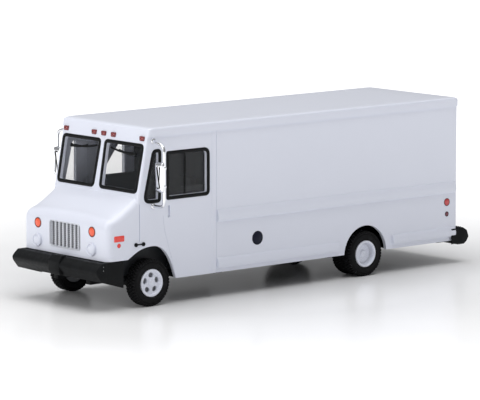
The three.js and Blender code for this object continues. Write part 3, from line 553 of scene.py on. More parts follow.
def nose_block(inward):
    """Side profiles carried across from -h to h, drawn in by r (1 - sin a) near each side. A share s of
    the way out from the middle the hood falls by c s^2.5, and a little more beside the cowl."""
    half, radius = HALF - inward, max(1.9 * MM - inward, 0.6 * MM)
    profile = nose_side(inward)
    step = mitres(profile)
    angle = np.linspace(0, math.pi / 2, 9)
    edge = half - radius * (1 - np.cos(angle))
    across = np.concatenate([-edge, np.linspace(-edge[-1], edge[-1], 15)[1:-1], edge[::-1]])
    inset = np.concatenate([radius * (1 - np.sin(angle)), np.zeros(13), radius * (1 - np.sin(angle[::-1]))])
    rows = profile[None] + inset[:, None, None] * step[None]
    share = np.abs(across[:, None] / half)
    lift = np.clip((rows[..., 1] - (NOSE_TOP - 3 * MM)) / (4 * MM), 0, 1)
    ahead = np.clip((rows[..., 0] - SCREEN_FOOT) / (3 * MM), 0, 1)
    rows[..., 1] += lift * (ahead * (0.55 - 0.85 * share ** 2.5) - 0.6 * share ** 5) * MM
    return lattice(along_y(rows[..., 0], rows[..., 1], np.broadcast_to(across[:, None], rows.shape[:2])))


def front_arch():
    """The front wheel arch: flat-topped, leaning forward, and open below the nose."""
    centre, high = FRONT_AXLE[0], FRONT_AXLE[2]
    reach = ARCH_RADIUS + 0.45 * MM
    t = np.linspace(0, 1, 15)[:, None]

    def curve(*p):
        a, b, c, d = (np.array((centre + x * reach, z)) for x, z in p)
        return (1 - t) ** 3 * a + 3 * t * (1 - t) ** 2 * b + 3 * t ** 2 * (1 - t) * c + t ** 3 * d

    top = high + 1.23 * ARCH_RADIUS
    rise = curve((-1, SILL), (-0.8, high + 0.75 * ARCH_RADIUS), (-0.55, top), (-0.06, top))
    fall = curve((-0.06, top), (0.4, top), (0.6, high + 1.1 * ARCH_RADIUS), (0.95, NOSE_LOW))
    ends = [(NOSE + 3 * MM, NOSE_LOW), (NOSE + 3 * MM, -2 * MM), (centre - reach, -2 * MM)]
    return np.concatenate([rise, fall[1:], ends])


def rail(low, high, from_x, to_x):
    """A rub rail, carried along the left side: its section swells by m sin^0.9 a over the height
    z = low + h (1 - cos a) / 2, and hangs lower than its middle by 0.15 h sin a."""
    angle = np.linspace(0, math.pi, 25)
    swell = RAIL_PROUD * np.sin(angle).clip(0) ** 0.9
    level = low + (high - low) * ((1 - np.cos(angle)) / 2 - 0.15 * np.sin(angle))
    skin = HALF - 0.5 * WALL
    section = np.concatenate([[(skin, low)], np.column_stack([HALF + swell, level]), [(skin, high)]])
    return slab(section, from_x, to_x, along_x)


def both(*shapes):
    return [side for shape in shapes for side in (shape, mirrored(shape))]


def groove(path, width, depth):
    """A shallow channel in the left side: a flat strip of a width, carried along a path."""
    path = np.array(path, float)
    edge = np.gradient(path, axis=0)
    edge /= np.linalg.norm(edge, axis=1, keepdims=True)
    normal = np.stack([-edge[:, 1], edge[:, 0]], 1) * width / 2
    strip = np.concatenate([path + normal, (path - normal)[::-1]])
    return slab(strip, HALF - depth, HALF + 1 * MM, along_y)


def rear_door_grooves():
    low, high, side, width, depth = 12.4 * MM, DRIP_LOW - 1.6 * MM, HALF - 4.6 * MM, 0.25 * MM, 0.3 * MM

    def cut(y0, y1, z0, z1):
        return box(TAIL - 1 * MM, TAIL + depth, y0, y1, z0, z1)

    uprights = [cut(y - width / 2, y + width / 2, low, high) for y in (-side, 0, side)]
    return uprights + [cut(-side, side, z - width / 2, z + width / 2) for z in (low, high)]


def door_fittings():
    """Cast-in rear door furniture: hinge knuckles down both sides, and a handle by the meeting edges."""
    side = HALF - 4.6 * MM
    parts = []
    for z in (16 * MM, 27 * MM, 38 * MM):
        knuckle = turned([(0, -0.9 * MM), (0.32 * MM, -0.9 * MM), (0.32 * MM, 0.9 * MM), (0, 0.9 * MM)],
                         (TAIL - 0.02 * MM, side + 0.15 * MM, z), "z", 20)
        strap = box(TAIL - 0.14 * MM, TAIL + 0.3 * MM, side - 2.6 * MM, side, z - 0.4 * MM, z + 0.4 * MM,
                    0.08 * MM)
        parts += both(knuckle, strap)
    parts.append(box(TAIL - 0.4 * MM, TAIL + 0.3 * MM, -1.3 * MM, -0.7 * MM, 25 * MM, 29 * MM, 0.12 * MM))
    return parts


def body_steps():
    """How the casting is made: what is joined to the box, then what is cut out of it."""
    arch = REAR_AXLE[0]
    joins = [nose_block(0)] + both(
        box(CAB_SEAM + 0.25 * MM, CAB_SEAM + 1.6 * MM, HALF - 0.3 * MM, HALF + 0.08 * MM, SILL, DRIP_LOW))
    wide = HALF + 2 * MM
    hollows = [box_rows(WALL, -2 * MM, 0), nose_block(WALL), slab(front_arch(), -wide, wide, along_y),
               turned([(0, -wide), (ARCH_RADIUS, -wide), (ARCH_RADIUS, wide), (0, wide)],
                      (arch, 0, REAR_AXLE[2]), sides=96)]
    openings = []
    for points, place in WINDOWS.values():
        openings += both(slab(drawn_in(points, GASKET_WIDTH), -3 * WALL, 1 * MM, place))
    return [("UNION", s) for s in joins] + [("DIFFERENCE", s) for s in hollows + openings]


def rails():
    """The belt rail and the two sill rails, on both sides, behind the cab's seam."""
    seam, tail = CAB_SEAM - 0.2 * MM, TAIL + 0.8 * MM
    arch, gap = REAR_AXLE[0], ARCH_RADIUS + 2.2 * MM
    return both(rail(21.1 * MM, 24.4 * MM, tail, seam), rail(8.2 * MM, 11 * MM, arch + gap, seam),
                rail(8.2 * MM, 11 * MM, tail, arch - gap))


def fine_cuts():
    """Seats for gaskets and trim, and engraved joints, cut after the edges are rounded."""
    seats = []
    for points, place in WINDOWS.values():
        seats += both(slab(drawn_in(points, -0.04 * MM), -0.15 * MM, 1 * MM, place))
    low, high = corners("grille")
    seats.append(slab(rectangle(low[1], high[1], low[2], high[2], 1.1 * MM), NOSE - 3 * WALL, NOSE + 1 * MM,
                      along_x))
    for x, width, depth, foot, head in ((CAB_SEAM, 0.16 * MM, 0.1 * MM, SILL - 1 * MM, DRIP_LOW),
                                        (NOSE_SEAM, 0.3 * MM, 0.22 * MM, 18.1 * MM, 28.3 * MM)):
        seats += both(box(x - width / 2, x + width / 2, HALF - depth, HALF + 1 * MM, foot, head))
    grip = CAB_SEAM + 16.95 * MM
    seats += both(slab(rectangle(grip - 0.42 * MM, grip + 0.42 * MM, 23.8 * MM, 27.2 * MM, 0.4 * MM),
                       HALF - 0.5 * MM, HALF + 1 * MM, along_y))
    t = np.linspace(0, 1, 13)
    fold = np.column_stack([CAB_SEAM + (19 - 4.2 * t ** 2 * (3 - 2 * t)) * MM,
                            24.6 * MM + t * (SILL - 25.6 * MM)])
    seats += both(groove(fold, 0.16 * MM, 0.08 * MM))
    return ([("UNION", s) for s in rails() + door_fittings()]
            + [("DIFFERENCE", s) for s in seats + rear_door_grooves()])


def make_body():
    cast = carved(mesh_of(box_rows(0, SILL, MOULDING)), body_steps())
    cast = softened(cast, 0.1 * MM, limit=30)
    piece("body_casting", carved(cast, fine_cuts()), "body_white", nodes=["body_shell"], smooth=13)


# ---- windows ----
def gasket_section(steps=12):
    """A half-round bead on a flat foot: (w/2 - w/2 cos a, rise sin^0.6 a)."""
    angle = np.linspace(0, math.pi, steps)
    foot = -0.11 * MM
    across = GASKET_WIDTH / 2 * (1 - np.cos(angle))
    return np.column_stack([across, foot + (GASKET_PROUD - foot) * np.sin(angle).clip(0) ** 0.6])


def make_windows():
    for name, (points, place) in WINDOWS.items():
        pair(f"{name}_gasket", lambda: bead(points, gasket_section(), place), "window_gasket", smooth=50)
        for side in ("left", "right"):
            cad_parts[f"{name}_glass_{side}"].data.materials.clear()
            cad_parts[f"{name}_glass_{side}"].data.materials.append(FINISHES["clear_glazing"])


# ---- front trim ----
def make_grille():
    """Frame and bars. The face's height is a row of flat-topped bars, cos(across) clipped, with fine
    ribs, -cos(up) clipped, lower down between them. The recesses get painted shade."""
    low, high = corners("grille")
    y = np.linspace(low[1] + 0.2 * MM, high[1] - 0.2 * MM, 193)
    z = np.linspace(low[2] + 0.2 * MM, high[2] - 0.2 * MM, 157)
    bars, ribs = 8, 13
    across = (y - y[0]) / (y[-1] - y[0]) * bars
    up = (z - z[0]) / (z[-1] - z[0]) * ribs
    bar = np.clip(0.3 + 1.7 * np.cos(TURN * across), 0, 1)[None, :]
    rib = np.clip(0.5 - 1.3 * np.cos(TURN * up), 0, 1)[:, None]
    height = bar * (0.8 + 0.2 * rib) + 0.35 * rib * (1 - bar)
    face = low[0] + (0.3 + 0.65 * height) * MM
    front = np.stack([face, np.broadcast_to(y, face.shape), np.broadcast_to(z[:, None], face.shape)], -1)
    back = front.copy()
    back[..., 0] = low[0]
    rows, columns = face.shape
    index = np.arange(2 * face.size).reshape(2, rows, columns)
    quads = [np.stack([i[:-1, :-1], i[:-1, 1:], i[1:, 1:], i[1:, :-1]], -1).reshape(-1, 4)
             for i in (index[0], index[1, :, ::-1])]
    ring = np.concatenate([index[:, 0, :-1], index[:, :-1, -1], index[:, -1, :0:-1], index[:, :0:-1, 0]], 1)
    wrap = np.roll(ring, -1, 1)
    quads.append(np.stack([ring[1], wrap[1], wrap[0], ring[0]], -1))
    core = outward(np.concatenate([front.reshape(-1, 3), back.reshape(-1, 3)]), [np.concatenate(quads)])
    edge = rectangle(low[1], high[1], low[2], high[2], 1.1 * MM)
    angle = np.linspace(0, TURN, 16, endpoint=False)
    section = np.column_stack([0.16 * MM * (1 - np.cos(angle)), NOSE - 0.5 * MM + 0.58 * MM * np.sin(angle)])
    mesh = mesh_of(together(core, bead(edge, section, along_x)))
    # painted shade: the deeper a point lies behind the bar tops, the darker the finish
    mark(mesh, np.clip((low[0] + 0.9 * MM - points_of(mesh)[:, 0]) / (0.55 * MM), 0, 1))
    piece("grille_insert", mesh, "grille_silver", nodes=["grille"], smooth=40)


def dome(radius, rise, back, rim_width, rim_rise):
    """Half a lamp's section from its back to its pole: a raised round rim, then a crown that follows
    rise cos(a)."""
    angle = np.linspace(0, math.pi, 9)
    rim = np.column_stack([radius - rim_width / 2 * (1 - np.cos(angle)), rim_rise * np.sin(angle)])
    inner = radius - rim_width
    share = np.linspace(1, 0, 10)[1:]
    crown = np.column_stack([inner * share, rise * np.sqrt(np.clip(1 - share ** 2, 0, 1))])
    return np.concatenate([[(0, -back), (radius, -back)], rim, crown])


def lamp(centre, radius, rise, axis, direction=1, rim_width=0.22 * MM, rim_rise=0.18 * MM):
    profile = dome(radius, rise, 0.4 * MM, rim_width, rim_rise)
    profile[:, 1] *= direction
    return turned(profile, centre, axis, 48)


def round_lamps(name, axis, finish, rise, rim_width, rim_rise, edge=(0.72, 0.9)):
    """A lamp and its twin, seated where the CAD lamps are."""
    low, high = corners(f"{name}_left")
    centre = (low + high) / 2
    which = "xyz".index(axis)
    radius = (high - low)[(which + 1) % 3] / 2
    skin, outward_x = (HALF, 1) if axis == "y" else (NOSE, 1) if centre[0] > 0 else (TAIL, -1)
    for side, hand in (("left", 1), ("right", -1)):
        place = centre.copy()
        place[which] = skin
        place[1] *= hand
        direction = hand if axis == "y" else outward_x
        mesh = mesh_of(lamp(place, radius, rise, axis, direction, rim_width, rim_rise))
        away = np.delete(points_of(mesh) - place, which, 1)
        share = np.linalg.norm(away, axis=1) / radius
        mark(mesh, np.clip((share - edge[0]) / (edge[1] - edge[0]), 0, 1))
        piece(f"{name}_cap_{side}", mesh, finish, nodes=[f"{name}_{side}"])


def make_lamps():
    round_lamps("turn_signal", "x", "amber_lens", 0.3 * MM, 0.24 * MM, 0.16 * MM)
    make_headlamps()
    round_lamps("side_marker_lamp", "y", "side_lens", 0.14 * MM, 0.1 * MM, 0.06 * MM, (0.85, 1.2))
    round_lamps("side_stop_lamp", "y", "red_lens", 0.14 * MM, 0.2 * MM, 0.1 * MM)
    round_lamps("side_reflector_rear", "y", "maroon_lens", 0.1 * MM, 0.14 * MM, 0.08 * MM, (0.5, 0.9))
    round_lamps("tail_lamp", "x", "red_lens", 0.28 * MM, 0.22 * MM, 0.14 * MM)
    make_reflectors()
    make_markers()


def make_headlamps():
    """A straight bezel with a rounded rim, and a low dome inside it."""
    low, high = corners("headlamp_left")
    centre, radius = (low + high) / 2, (high - low)[1] / 2 / MM
    bezel = [(0, -0.4), (radius, -0.4), (radius, 0.45), (radius - 0.06, 0.66), (radius - 0.2, 0.76),
             (radius - 0.34, 0.68), (radius - 0.4, 0.5)]
    inner = radius - 0.4
    share = np.linspace(1, 0, 10)[1:, None]
    crown = np.hstack([inner * share, 0.5 + 0.42 * np.sqrt(1 - share ** 2)])
    profile = np.concatenate([bezel, crown]) * MM
    pair("headlamp", lambda: turned(profile, (NOSE, centre[1], centre[2]), "x", 64), "body_white")


def make_reflectors():
    low, high = corners("side_reflector_front_left")
    shape = rectangle(low[0], high[0], low[2], high[2], 0.3 * MM, 4)
    pair("side_reflector_front", lambda: slab(shape, low[1], HALF + 0.15 * MM, along_y, 0.1 * MM),
         "side_lens",
         rim=lambda points: np.zeros(len(points)))


def make_markers():
    """Roof marker lamps: a dark base with a smaller raised lens, squared with round corners."""
    for number in range(1, 6):
        name = f"roof_marker_lamp_{number}"
        low, high = corners(name)
        low, high = low - (0, 0.35 * MM, 0.06 * MM), high + (0, 0.35 * MM, 0.06 * MM)
        edge = rectangle(low[1], high[1], low[2], high[2], 0.38 * MM, 5)
        inset = np.array([0, 0, 0.05, 0.12, 0.2, 0.24, 0.3, 0.4, 0.52]) * MM
        out = np.array([-0.9, -0.14, -0.02, 0, -0.02, -0.08, 0.02, 0.1, 0.12]) * MM + high[0] - 0.1 * MM
        rows = edge[None] + inset[:, None, None] * mitres(edge)[None]
        grid = along_x(rows[..., 0], rows[..., 1], np.broadcast_to(out[:, None], rows.shape[:2]))
        mesh = mesh_of(lattice(grid))
        centre, half = (low + high)[1:] / 2, (high - low)[1:] / 2
        share = np.abs((points_of(mesh)[:, 1:] - centre) / half).max(1)
        mark(mesh, np.clip((share - 0.5) / 0.14, 0, 1))
        piece(f"{name}_lens", mesh, "dark_red_lens", nodes=[name])


def latch():
    """Two round studs with a waisted bar between them."""
    low, high = corners("hood_latch_left")
    centre = (low + high) / 2
    radius = (high - low)[2] / 2
    studs = [turned(dome(radius, 0.14 * MM, 0.3 * MM, 0.14 * MM, 0.05 * MM) + (0, 0.25 * MM),
                    (x, HALF, centre[2]), "y", 32) for x in (low[0] + radius, high[0] - radius)]
    spread = np.linspace(0, TURN, 40, endpoint=False)
    waist = np.column_stack([centre[0] + (centre[0] - low[0] - radius) * np.cos(spread),
                             centre[2] + 0.3 * MM * np.sin(spread) * (0.55 + 0.45 * np.cos(spread) ** 2)])
    return together(*studs, slab(waist, HALF - 0.1 * MM, HALF + 0.26 * MM, along_y, 0.06 * MM))


def make_side_trim():
    pair("hood_latch", latch, "black_plastic")
    low, high = corners("fuel_filler_cap")
    centre, radius = (low + high) / 2, (high - low)[0] / 2
    edge = radius / MM
    profile = [(0, -0.4), (edge, -0.4), (edge, 0.04), (edge - 0.1, 0.11), (edge - 0.3, 0.12),
               (edge - 0.36, 0.08),
               (edge - 0.42, 0.08), (edge - 0.48, 0.12), (0, 0.13)]
    cap = turned(np.array(profile) * MM, (centre[0], HALF, centre[2]), "y", 64)
    piece("filler_cap", mesh_of(cap), "navy_plastic", nodes=["fuel_filler_cap"])


# ---- bumpers ----
def make_front_bumper():
    low, high = corners("front_bumper")
    half, face, back = high[1], high[0], NOSE + 0.25 * MM
    foot, top = 8.3 * MM, NOSE_LOW - 0.2 * MM
    section = outline([(back, foot), (face - 2 * MM, foot, 0.3 * MM),
                       (face - 0.4 * MM, foot + 2 * MM, 0.35 * MM),
                       (face, top - 2 * MM, 0.5 * MM), (face - 0.6 * MM, top - 1.2 * MM, 0.5 * MM),
                       (face - 2 * MM, top, 0.3 * MM), (back, top)], 5)
    beam = slab(section, -half, half, along_y, 0.2 * MM)
    skirt = np.array([(low[0], low[2]), (face - 2 * MM, foot), (face - 2 * MM, top), (low[0], top)])
    guard = outline([(face - 2.6 * MM, foot + 0.2 * MM), (face - 0.5 * MM, foot + 0.2 * MM, 0.3 * MM),
                     (face, foot + 1.2 * MM, 0.4 * MM), (face, top - 0.9 * MM, 0.5 * MM),
                     (face - 1.2 * MM, top + 0.5 * MM, 0.3 * MM), (face - 2.6 * MM, top + 0.5 * MM)], 4)
    shelf = box(NOSE - 2 * MM, back + 0.3 * MM, 4.5 * MM - half, half - 4.5 * MM, top - 1.4 * MM,
                top - 0.1 * MM)
    side = slab(skirt, half - 1.3 * MM, half - 0.1 * MM, along_y, 0.1 * MM, 2)
    mesh = carved(mesh_of(beam), [("UNION", s) for s in [*both(side), shelf]] + [
        ("UNION", slab(guard, -2.4 * MM, 2.4 * MM, along_y, 0.3 * MM))])
    piece("front_bumper_bar", softened(mesh, 0.12 * MM, 40), "black_plastic", nodes=["front_bumper"])
    bolts = []
    for z in (11.5 * MM, 12.5 * MM):
        profile = np.array([(0, -0.3), (0.27, -0.3), (0.27, 0.03), (0.2, 0.08), (0, 0.1)]) * MM
        bolts += both(turned(profile, (face - 2.5 * MM, half - 0.09 * MM, z), "y", 24))
    piece("front_bumper_bolts", mesh_of(together(*bolts)), "steel")


def make_rear_bumper():
    low, high = corners("rear_bumper")
    half, foot, top = high[1], low[2], high[2]
    face, back = low[0], TAIL - 0.15 * MM
    centre = (foot + top) / 2
    section = outline([(back, foot), (face + 1.9 * MM, foot, 0.15 * MM),
                       (face + 0.8 * MM, foot + 0.75 * MM, 0.2 * MM),
                       (face, centre - 0.4 * MM, 0.2 * MM), (face + 0.7 * MM, top - 0.95 * MM, 0.2 * MM),
                       (face + 2.3 * MM, top, 0.15 * MM), (back, top)], 4)
    beam = slab(section, -half, half, along_y, 0.15 * MM)
    inside = HALF + MOULDING + 0.05 * MM
    ends = both(box(TAIL - 1 * MM, high[0] - 1.1 * MM, inside, half, foot + 0.3 * MM, top - 0.1 * MM,
                    0.1 * MM))
    hangers = both(box(TAIL - 0.6 * MM, high[0], 8.7 * MM, 10.3 * MM, foot + 0.3 * MM, SILL - 0.2 * MM,
                       0.1 * MM))
    treads = [box(face + 2.2 * MM, back - 0.3 * MM, y - 0.12 * MM, y + 0.12 * MM, top - 0.1 * MM,
                  top + 0.1 * MM,
                  0.04 * MM) for y in np.linspace(-half + 1.2 * MM, half - 1.2 * MM, 45)]
    mesh = carved(mesh_of(beam), [("UNION", s) for s in ends + hangers])
    mesh = softened(mesh, 0.12 * MM, 40)
    piece("rear_bumper_bar", carved(mesh, [("UNION", s) for s in treads]), "black_plastic",
          nodes=["rear_bumper"])


# ---- wheels ----
def tread(angle, across, blocks):
    """Depth taken off the tread: grooves between blocks that step sideways in zigzag across the width."""
    phase = blocks * angle / TURN + 0.5 * np.floor(across * 4)
    notch = np.clip((np.cos(TURN * phase) - 0.55) / 0.2, 0, 1)
    rib = np.clip((np.cos(TURN * across * 4) - 0.82) / 0.12, 0, 1)
    return np.maximum(notch * 0.42 * MM, rib * 0.36 * MM)


def tyre_grid(width, inner_y, x):
    """A tyre's section turned about its axle. Over the tread the radius drops by tread(angle, across);
    two rings stand out on each wall."""
    sides, blocks = 360, 45
    angle = np.linspace(0, TURN, sides, endpoint=False)
    bore = 3.85 * MM
    crown = np.linspace(0, 1, 33)
    wall = np.linspace(0, 1, 15)
    shoulder = 0.75 * MM
    wall_radius = bore + (TYRE_RADIUS - shoulder - bore) * wall
    bulge = 0.35 * MM * (1 - np.sin(math.pi * wall ** 0.8) * 0.9 - 0.1 * wall)
    ring = 0.1 * MM * (np.exp(-((wall - 0.3) / 0.06) ** 2) + np.exp(-((wall - 0.82) / 0.05) ** 2))
    inner_wall = np.column_stack([wall_radius, bulge + 0.12 * MM - ring])
    turn = np.linspace(0, math.pi / 2, 5)[1:-1]
    inner_edge = np.column_stack([TYRE_RADIUS - shoulder * 0.8 + shoulder * 0.8 * np.sin(turn),
                                  0.12 * MM + shoulder * 0.8 * (1 - np.cos(turn))])
    flat = np.column_stack([np.full(33, TYRE_RADIUS), shoulder * 0.92 + (width - 1.84 * shoulder) * crown])
    profile = np.concatenate([inner_wall, inner_edge, flat])
    outer = np.concatenate([inner_edge[::-1], inner_wall[::-1]]) * (1, -1) + (0, width)
    profile = np.concatenate([profile, outer])
    radius = np.repeat(profile[:, :1], sides, 1)
    across = (profile[:, 1:] - shoulder * 0.5) / (width - shoulder)
    on_tread = np.clip((profile[:, :1] - (TYRE_RADIUS - 0.5 * MM)) / (0.3 * MM), 0, 1)
    radius -= on_tread * tread(angle[None], np.clip(across, 0, 0.999), blocks)
    station = np.repeat(profile[:, 1:], sides, 1)
    grid = along_y(radius * np.cos(angle), radius * np.sin(angle), station)
    return lattice(grid + np.array((x, inner_y, FRONT_AXLE[2])), along=True)


def make_tyres():
    low, high = corners("front_tyre_left")
    width = (high - low)[1]
    pair("front_tyre", lambda: tyre_grid(width, low[1], FRONT_AXLE[0]), "tyre_rubber", "front_wheelset",
         smooth=40)
    rear_low, rear_high = corners("rear_tyre_left")
    single = (rear_high - rear_low)[1] / 2 - 0.12 * MM
    bridge = turned([(3.85 * MM, 0), (5 * MM, 0), (5 * MM, 0.6 * MM), (3.85 * MM, 0.6 * MM)],
                    (REAR_AXLE[0], (rear_low[1] + rear_high[1]) / 2 - 0.3 * MM, REAR_AXLE[2]), sides=120,
                    closed=True)
    pair("rear_tyre", lambda: together(
        tyre_grid(single, rear_low[1], REAR_AXLE[0]), tyre_grid(single, rear_high[1] - single, REAR_AXLE[0]),
        bridge), "tyre_rubber", "rear_wheelset", smooth=40)


def hub_face(x, inner_y, face_y, dish, holes):
    """A wheel's front: rings of radius r, each at a depth from its profile, pressed in by smooth ovals
    round a ring of hand holes."""
    rim = 3.81 * MM
    steps = np.array([(0, 0.34, 0), (0.55, 0.34, 0), (0.8, 0.3, 0), (0.95, 0.16, 0), (1.05, 0.02, 0),
                      (1.2, 0, 0),
                      (2.85, 0, 0), (3.0, 0.02, 1), (3.1, 0.12, 1), (3.2, 0.3, 1), (3.3, 0.36, 1),
                      (3.55, 0.4, 1),
                      (3.7, 0.34, 1), (3.79, 0.2, 1)])
    radius = np.unique(np.concatenate([np.linspace(0.02, 3.79, 70), steps[1:, 0]])) * MM
    depth = np.interp(radius / MM, steps[:, 0], steps[:, 1]) * MM
    raised = np.interp(radius / MM, (2.9, 3.25), (0, 1))
    angle = np.linspace(0, TURN, 240, endpoint=False)
    level = face_y - dish + depth[:, None] + (dish - 0.42 * MM) * raised[:, None] + 0 * angle
    for k in range(holes):
        turn = math.pi / 2 + k * TURN / holes
        along = radius[:, None] * np.cos(angle - turn) - 2.15 * MM
        aside = radius[:, None] * np.sin(angle - turn)
        oval = np.sqrt((along / (0.62 * MM)) ** 2 + (aside / (0.78 * MM)) ** 2)
        level -= 0.8 * MM * np.clip((1.12 - oval) / 0.24, 0, 1)
    place = along_y(radius[:, None] * np.cos(angle), radius[:, None] * np.sin(angle), level)
    centre = np.array((x, 0, FRONT_AXLE[2]))
    back = [along_y(r * np.cos(angle), r * np.sin(angle), np.full(240, y))[None]
            for r,
            y in ((rim, level[-1, 0] - 0.1 * MM), (rim, inner_y + 0.5 * MM), (0.95 * MM, inner_y + 0.5 * MM))]
    return lattice(np.concatenate([place, *back]) + centre)


def make_wheels():
    """Hubs and tyres. A front hub gets painted shade in its hand holes, a rear one a ring of painted shade
    round the foot of its dish.
    """
    front, rear = corners("front_hub_left")[0][1], corners("rear_hub_left")[0][1]

    # painted shade: the deeper a point lies in a front hub's hand holes, the darker the finish
    def holes(points):
        return np.clip((WHEEL_FACE - 0.75 * MM - points[:, 1]) / (0.5 * MM), 0, 1)

    # painted shade: a darker ring round the foot of a rear hub's dish wall
    def dish(points):
        away = np.hypot(points[:, 0] - REAR_AXLE[0], points[:, 2] - REAR_AXLE[2]) / MM
        return np.clip(1 - np.abs(away - 2.75) / 0.5, 0, 1) * 0.35

    pair("front_hub", lambda: hub_face(FRONT_AXLE[0], front - 0.5 * MM, WHEEL_FACE, 0.62 * MM, 5),
         "hub_plastic",
         "front_wheelset", smooth=40, rim=holes)
    pair("rear_hub", lambda: hub_face(REAR_AXLE[0], rear - 0.5 * MM, WHEEL_FACE, 1.5 * MM, 0), "hub_plastic",
         "rear_wheelset", smooth=40, rim=dish)
    make_tyres()


# ---- mirrors and wipers ----
def make_mirrors():
    low, high = corners("mirror_bracket_left")
    x = (low + high)[0] / 2
    out = corners("mirror_head_left")[1][1] - 0.75 * MM
    top, foot = high[2] - 0.8 * MM, low[2] + 0.8 * MM
    root = low[1]
    path = rounded_path([(x, root, top), (x, out, top - 1 * MM), (x, out, foot + 0.2 * MM), (x, root, foot)],
                        1.8 * MM, 10)
    path = np.concatenate([path[:10], np.linspace(path[10], path[11], 6)[1:-1], path[11:]])

    def bracket():
        profile = np.array([(0, 0), (0.8, 0), (0.8, 0.22), (0.68, 0.4), (0.45, 0.46), (0, 0.46)]) * MM
        feet = [turned(profile, (x, root, z), "y", 32) for z in (top, foot)]
        clamps = [turned(np.array([(0, -0.35), (0.6, -0.35), (0.66, 0), (0.6, 0.35), (0, 0.35)]) * MM,
                         (x, out, z), "z", 24) for z in (head_low[2] + 1.6 * MM, head_high[2] - 1.6 * MM)]
        return together(tube(path, 0.42 * MM, 16), *feet, *clamps)

    head_low, head_high = corners("mirror_head_left")

    def head():
        edge = rectangle(head_low[1], head_high[1], head_low[2], head_high[2], 0.9 * MM)
        inset = np.array([0.5, 0.34, 0.34, 0.2, 0.06, 0, 0.03, 0.16, 0.4, 0.9, 1.4]) * MM
        out_x = np.array([0.1, 0.1, 0, 0, 0.04, 0.2, 0.45, 0.64, 0.76, 0.83, 0.84]) * MM + head_low[0]
        rows = edge[None] + inset[:, None, None] * mitres(edge)[None]
        return lattice(along_x(rows[..., 0], rows[..., 1], np.broadcast_to(out_x[:, None], rows.shape[:2])))

    pair("mirror_bracket", bracket, "chrome_plastic", smooth=50)
    pair("mirror_head", head, "chrome_plastic", smooth=50)


def wiper():
    """A blade on the glass, its arm and a round pivot. Both strips bow by b sin(pi t)."""
    low = -GLASS_DEPTH + 0.03 * MM
    rise = (ROOF - 4.75 * MM - COWL) / math.cos(RAKE)
    pivot = np.array((HALF - 4.6 * MM, rise - 2.8 * MM))
    tip = np.array((2.9 * MM, pivot[1] + 1 * MM))
    way = (tip - pivot) / np.linalg.norm(tip - pivot)
    side = np.array((-way[1], way[0]))
    start = pivot + 1.2 * MM * way
    t = np.linspace(0, 1, 12)[:, None]

    def strip(start, end, first, last):
        middle = start + (end - start) * t + 0.35 * MM * np.sin(math.pi * t) * side
        width = first + (last - first) * t
        return np.concatenate([middle - width * side, (middle + width * side)[::-1]])

    angle = np.linspace(0, TURN, 24, endpoint=False)
    boss = pivot + 0.5 * MM * np.column_stack([np.cos(angle), np.sin(angle)])
    return together(slab(strip(start, tip, 0.32 * MM, 0.26 * MM), low, low + 0.25 * MM, on_screen, 0.05 * MM),
                    slab(strip(pivot, pivot + 7 * MM * way, 0.4 * MM, 0.22 * MM), low + 0.2 * MM,
                         low + 0.45 * MM,
                         on_screen, 0.05 * MM),
                    slab(boss, low, low + 0.55 * MM, on_screen, 0.12 * MM))


def sash():
    """The upright where the two panes of a door's sliding window meet."""
    low, high = corners("door_window_glass_left")
    x = CAB_SEAM + 10.7 * MM
    points = rectangle(x - 0.28 * MM, x + 0.28 * MM, low[2] - 0.02 * MM, high[2] + 0.02 * MM, 0.02 * MM, 2)
    return slab(points, -GLASS_DEPTH + 0.01 * MM, -GLASS_DEPTH + 0.25 * MM, on_side, 0.06 * MM)


def make_window_fittings():
    pair("wiper", wiper, "black_plastic")
    piece("door_window_sashes", mesh_of(together(*both(sash()))), "window_gasket")


# ---- cab and chassis ----
def make_steering_wheel():
    """A ring of radius R swept by a circle of radius r, scalloped by sin(12 a), on three spokes."""
    low, high = corners("steering_wheel")
    centre = (low + high) / 2
    around = np.linspace(0, TURN, 72, endpoint=False)
    about = np.linspace(0, TURN, 12, endpoint=False)
    thick = 0.27 * MM * (1 + 0.06 * np.sin(24 * around))[:, None]
    reach = 2.65 * MM + thick * np.cos(about)
    ring = np.stack([reach * np.cos(around)[:, None], reach * np.sin(around)[:, None],
                     thick * np.sin(about)], -1)
    shapes = [lattice(ring, along=True), turned(np.array([(0, -0.5), (0.75, -0.4), (0.8, 0.1), (0.5, 0.3),
                                                          (0, 0.36)]) * MM, (0, 0, 0), "z", 32)]
    for k in range(3):
        turn = math.pi / 2 + k * TURN / 3
        way = np.array((math.cos(turn), math.sin(turn), 0))
        shapes.append(tube(np.linspace(0.3 * MM, 2.6 * MM, 6)[:, None] * way, 0.2 * MM, 10))
    points, groups = together(*shapes)
    tilt = Matrix.Rotation(-math.pi / 2 + 0.35, 3, "Y")
    points = points @ np.array(tilt).T + centre
    piece("steering_wheel_rim", mesh_of((points, groups)), "black_plastic", nodes=["steering_wheel"],
          smooth=50)


def make_plain_nodes():
    """CAD nodes whose shapes are right: they keep them, with rounded edges or only a finish."""
    refined("cab_interior", "interior_plastic", width=0.2 * MM)
    refined("chassis_base", "black_plastic", width=0.12 * MM)
    for node in ("front_axle", "rear_axle", "rivet_front", "rivet_rear"):
        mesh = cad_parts[node].data
        mesh.materials.clear()
        mesh.materials.append(FINISHES["steel"])


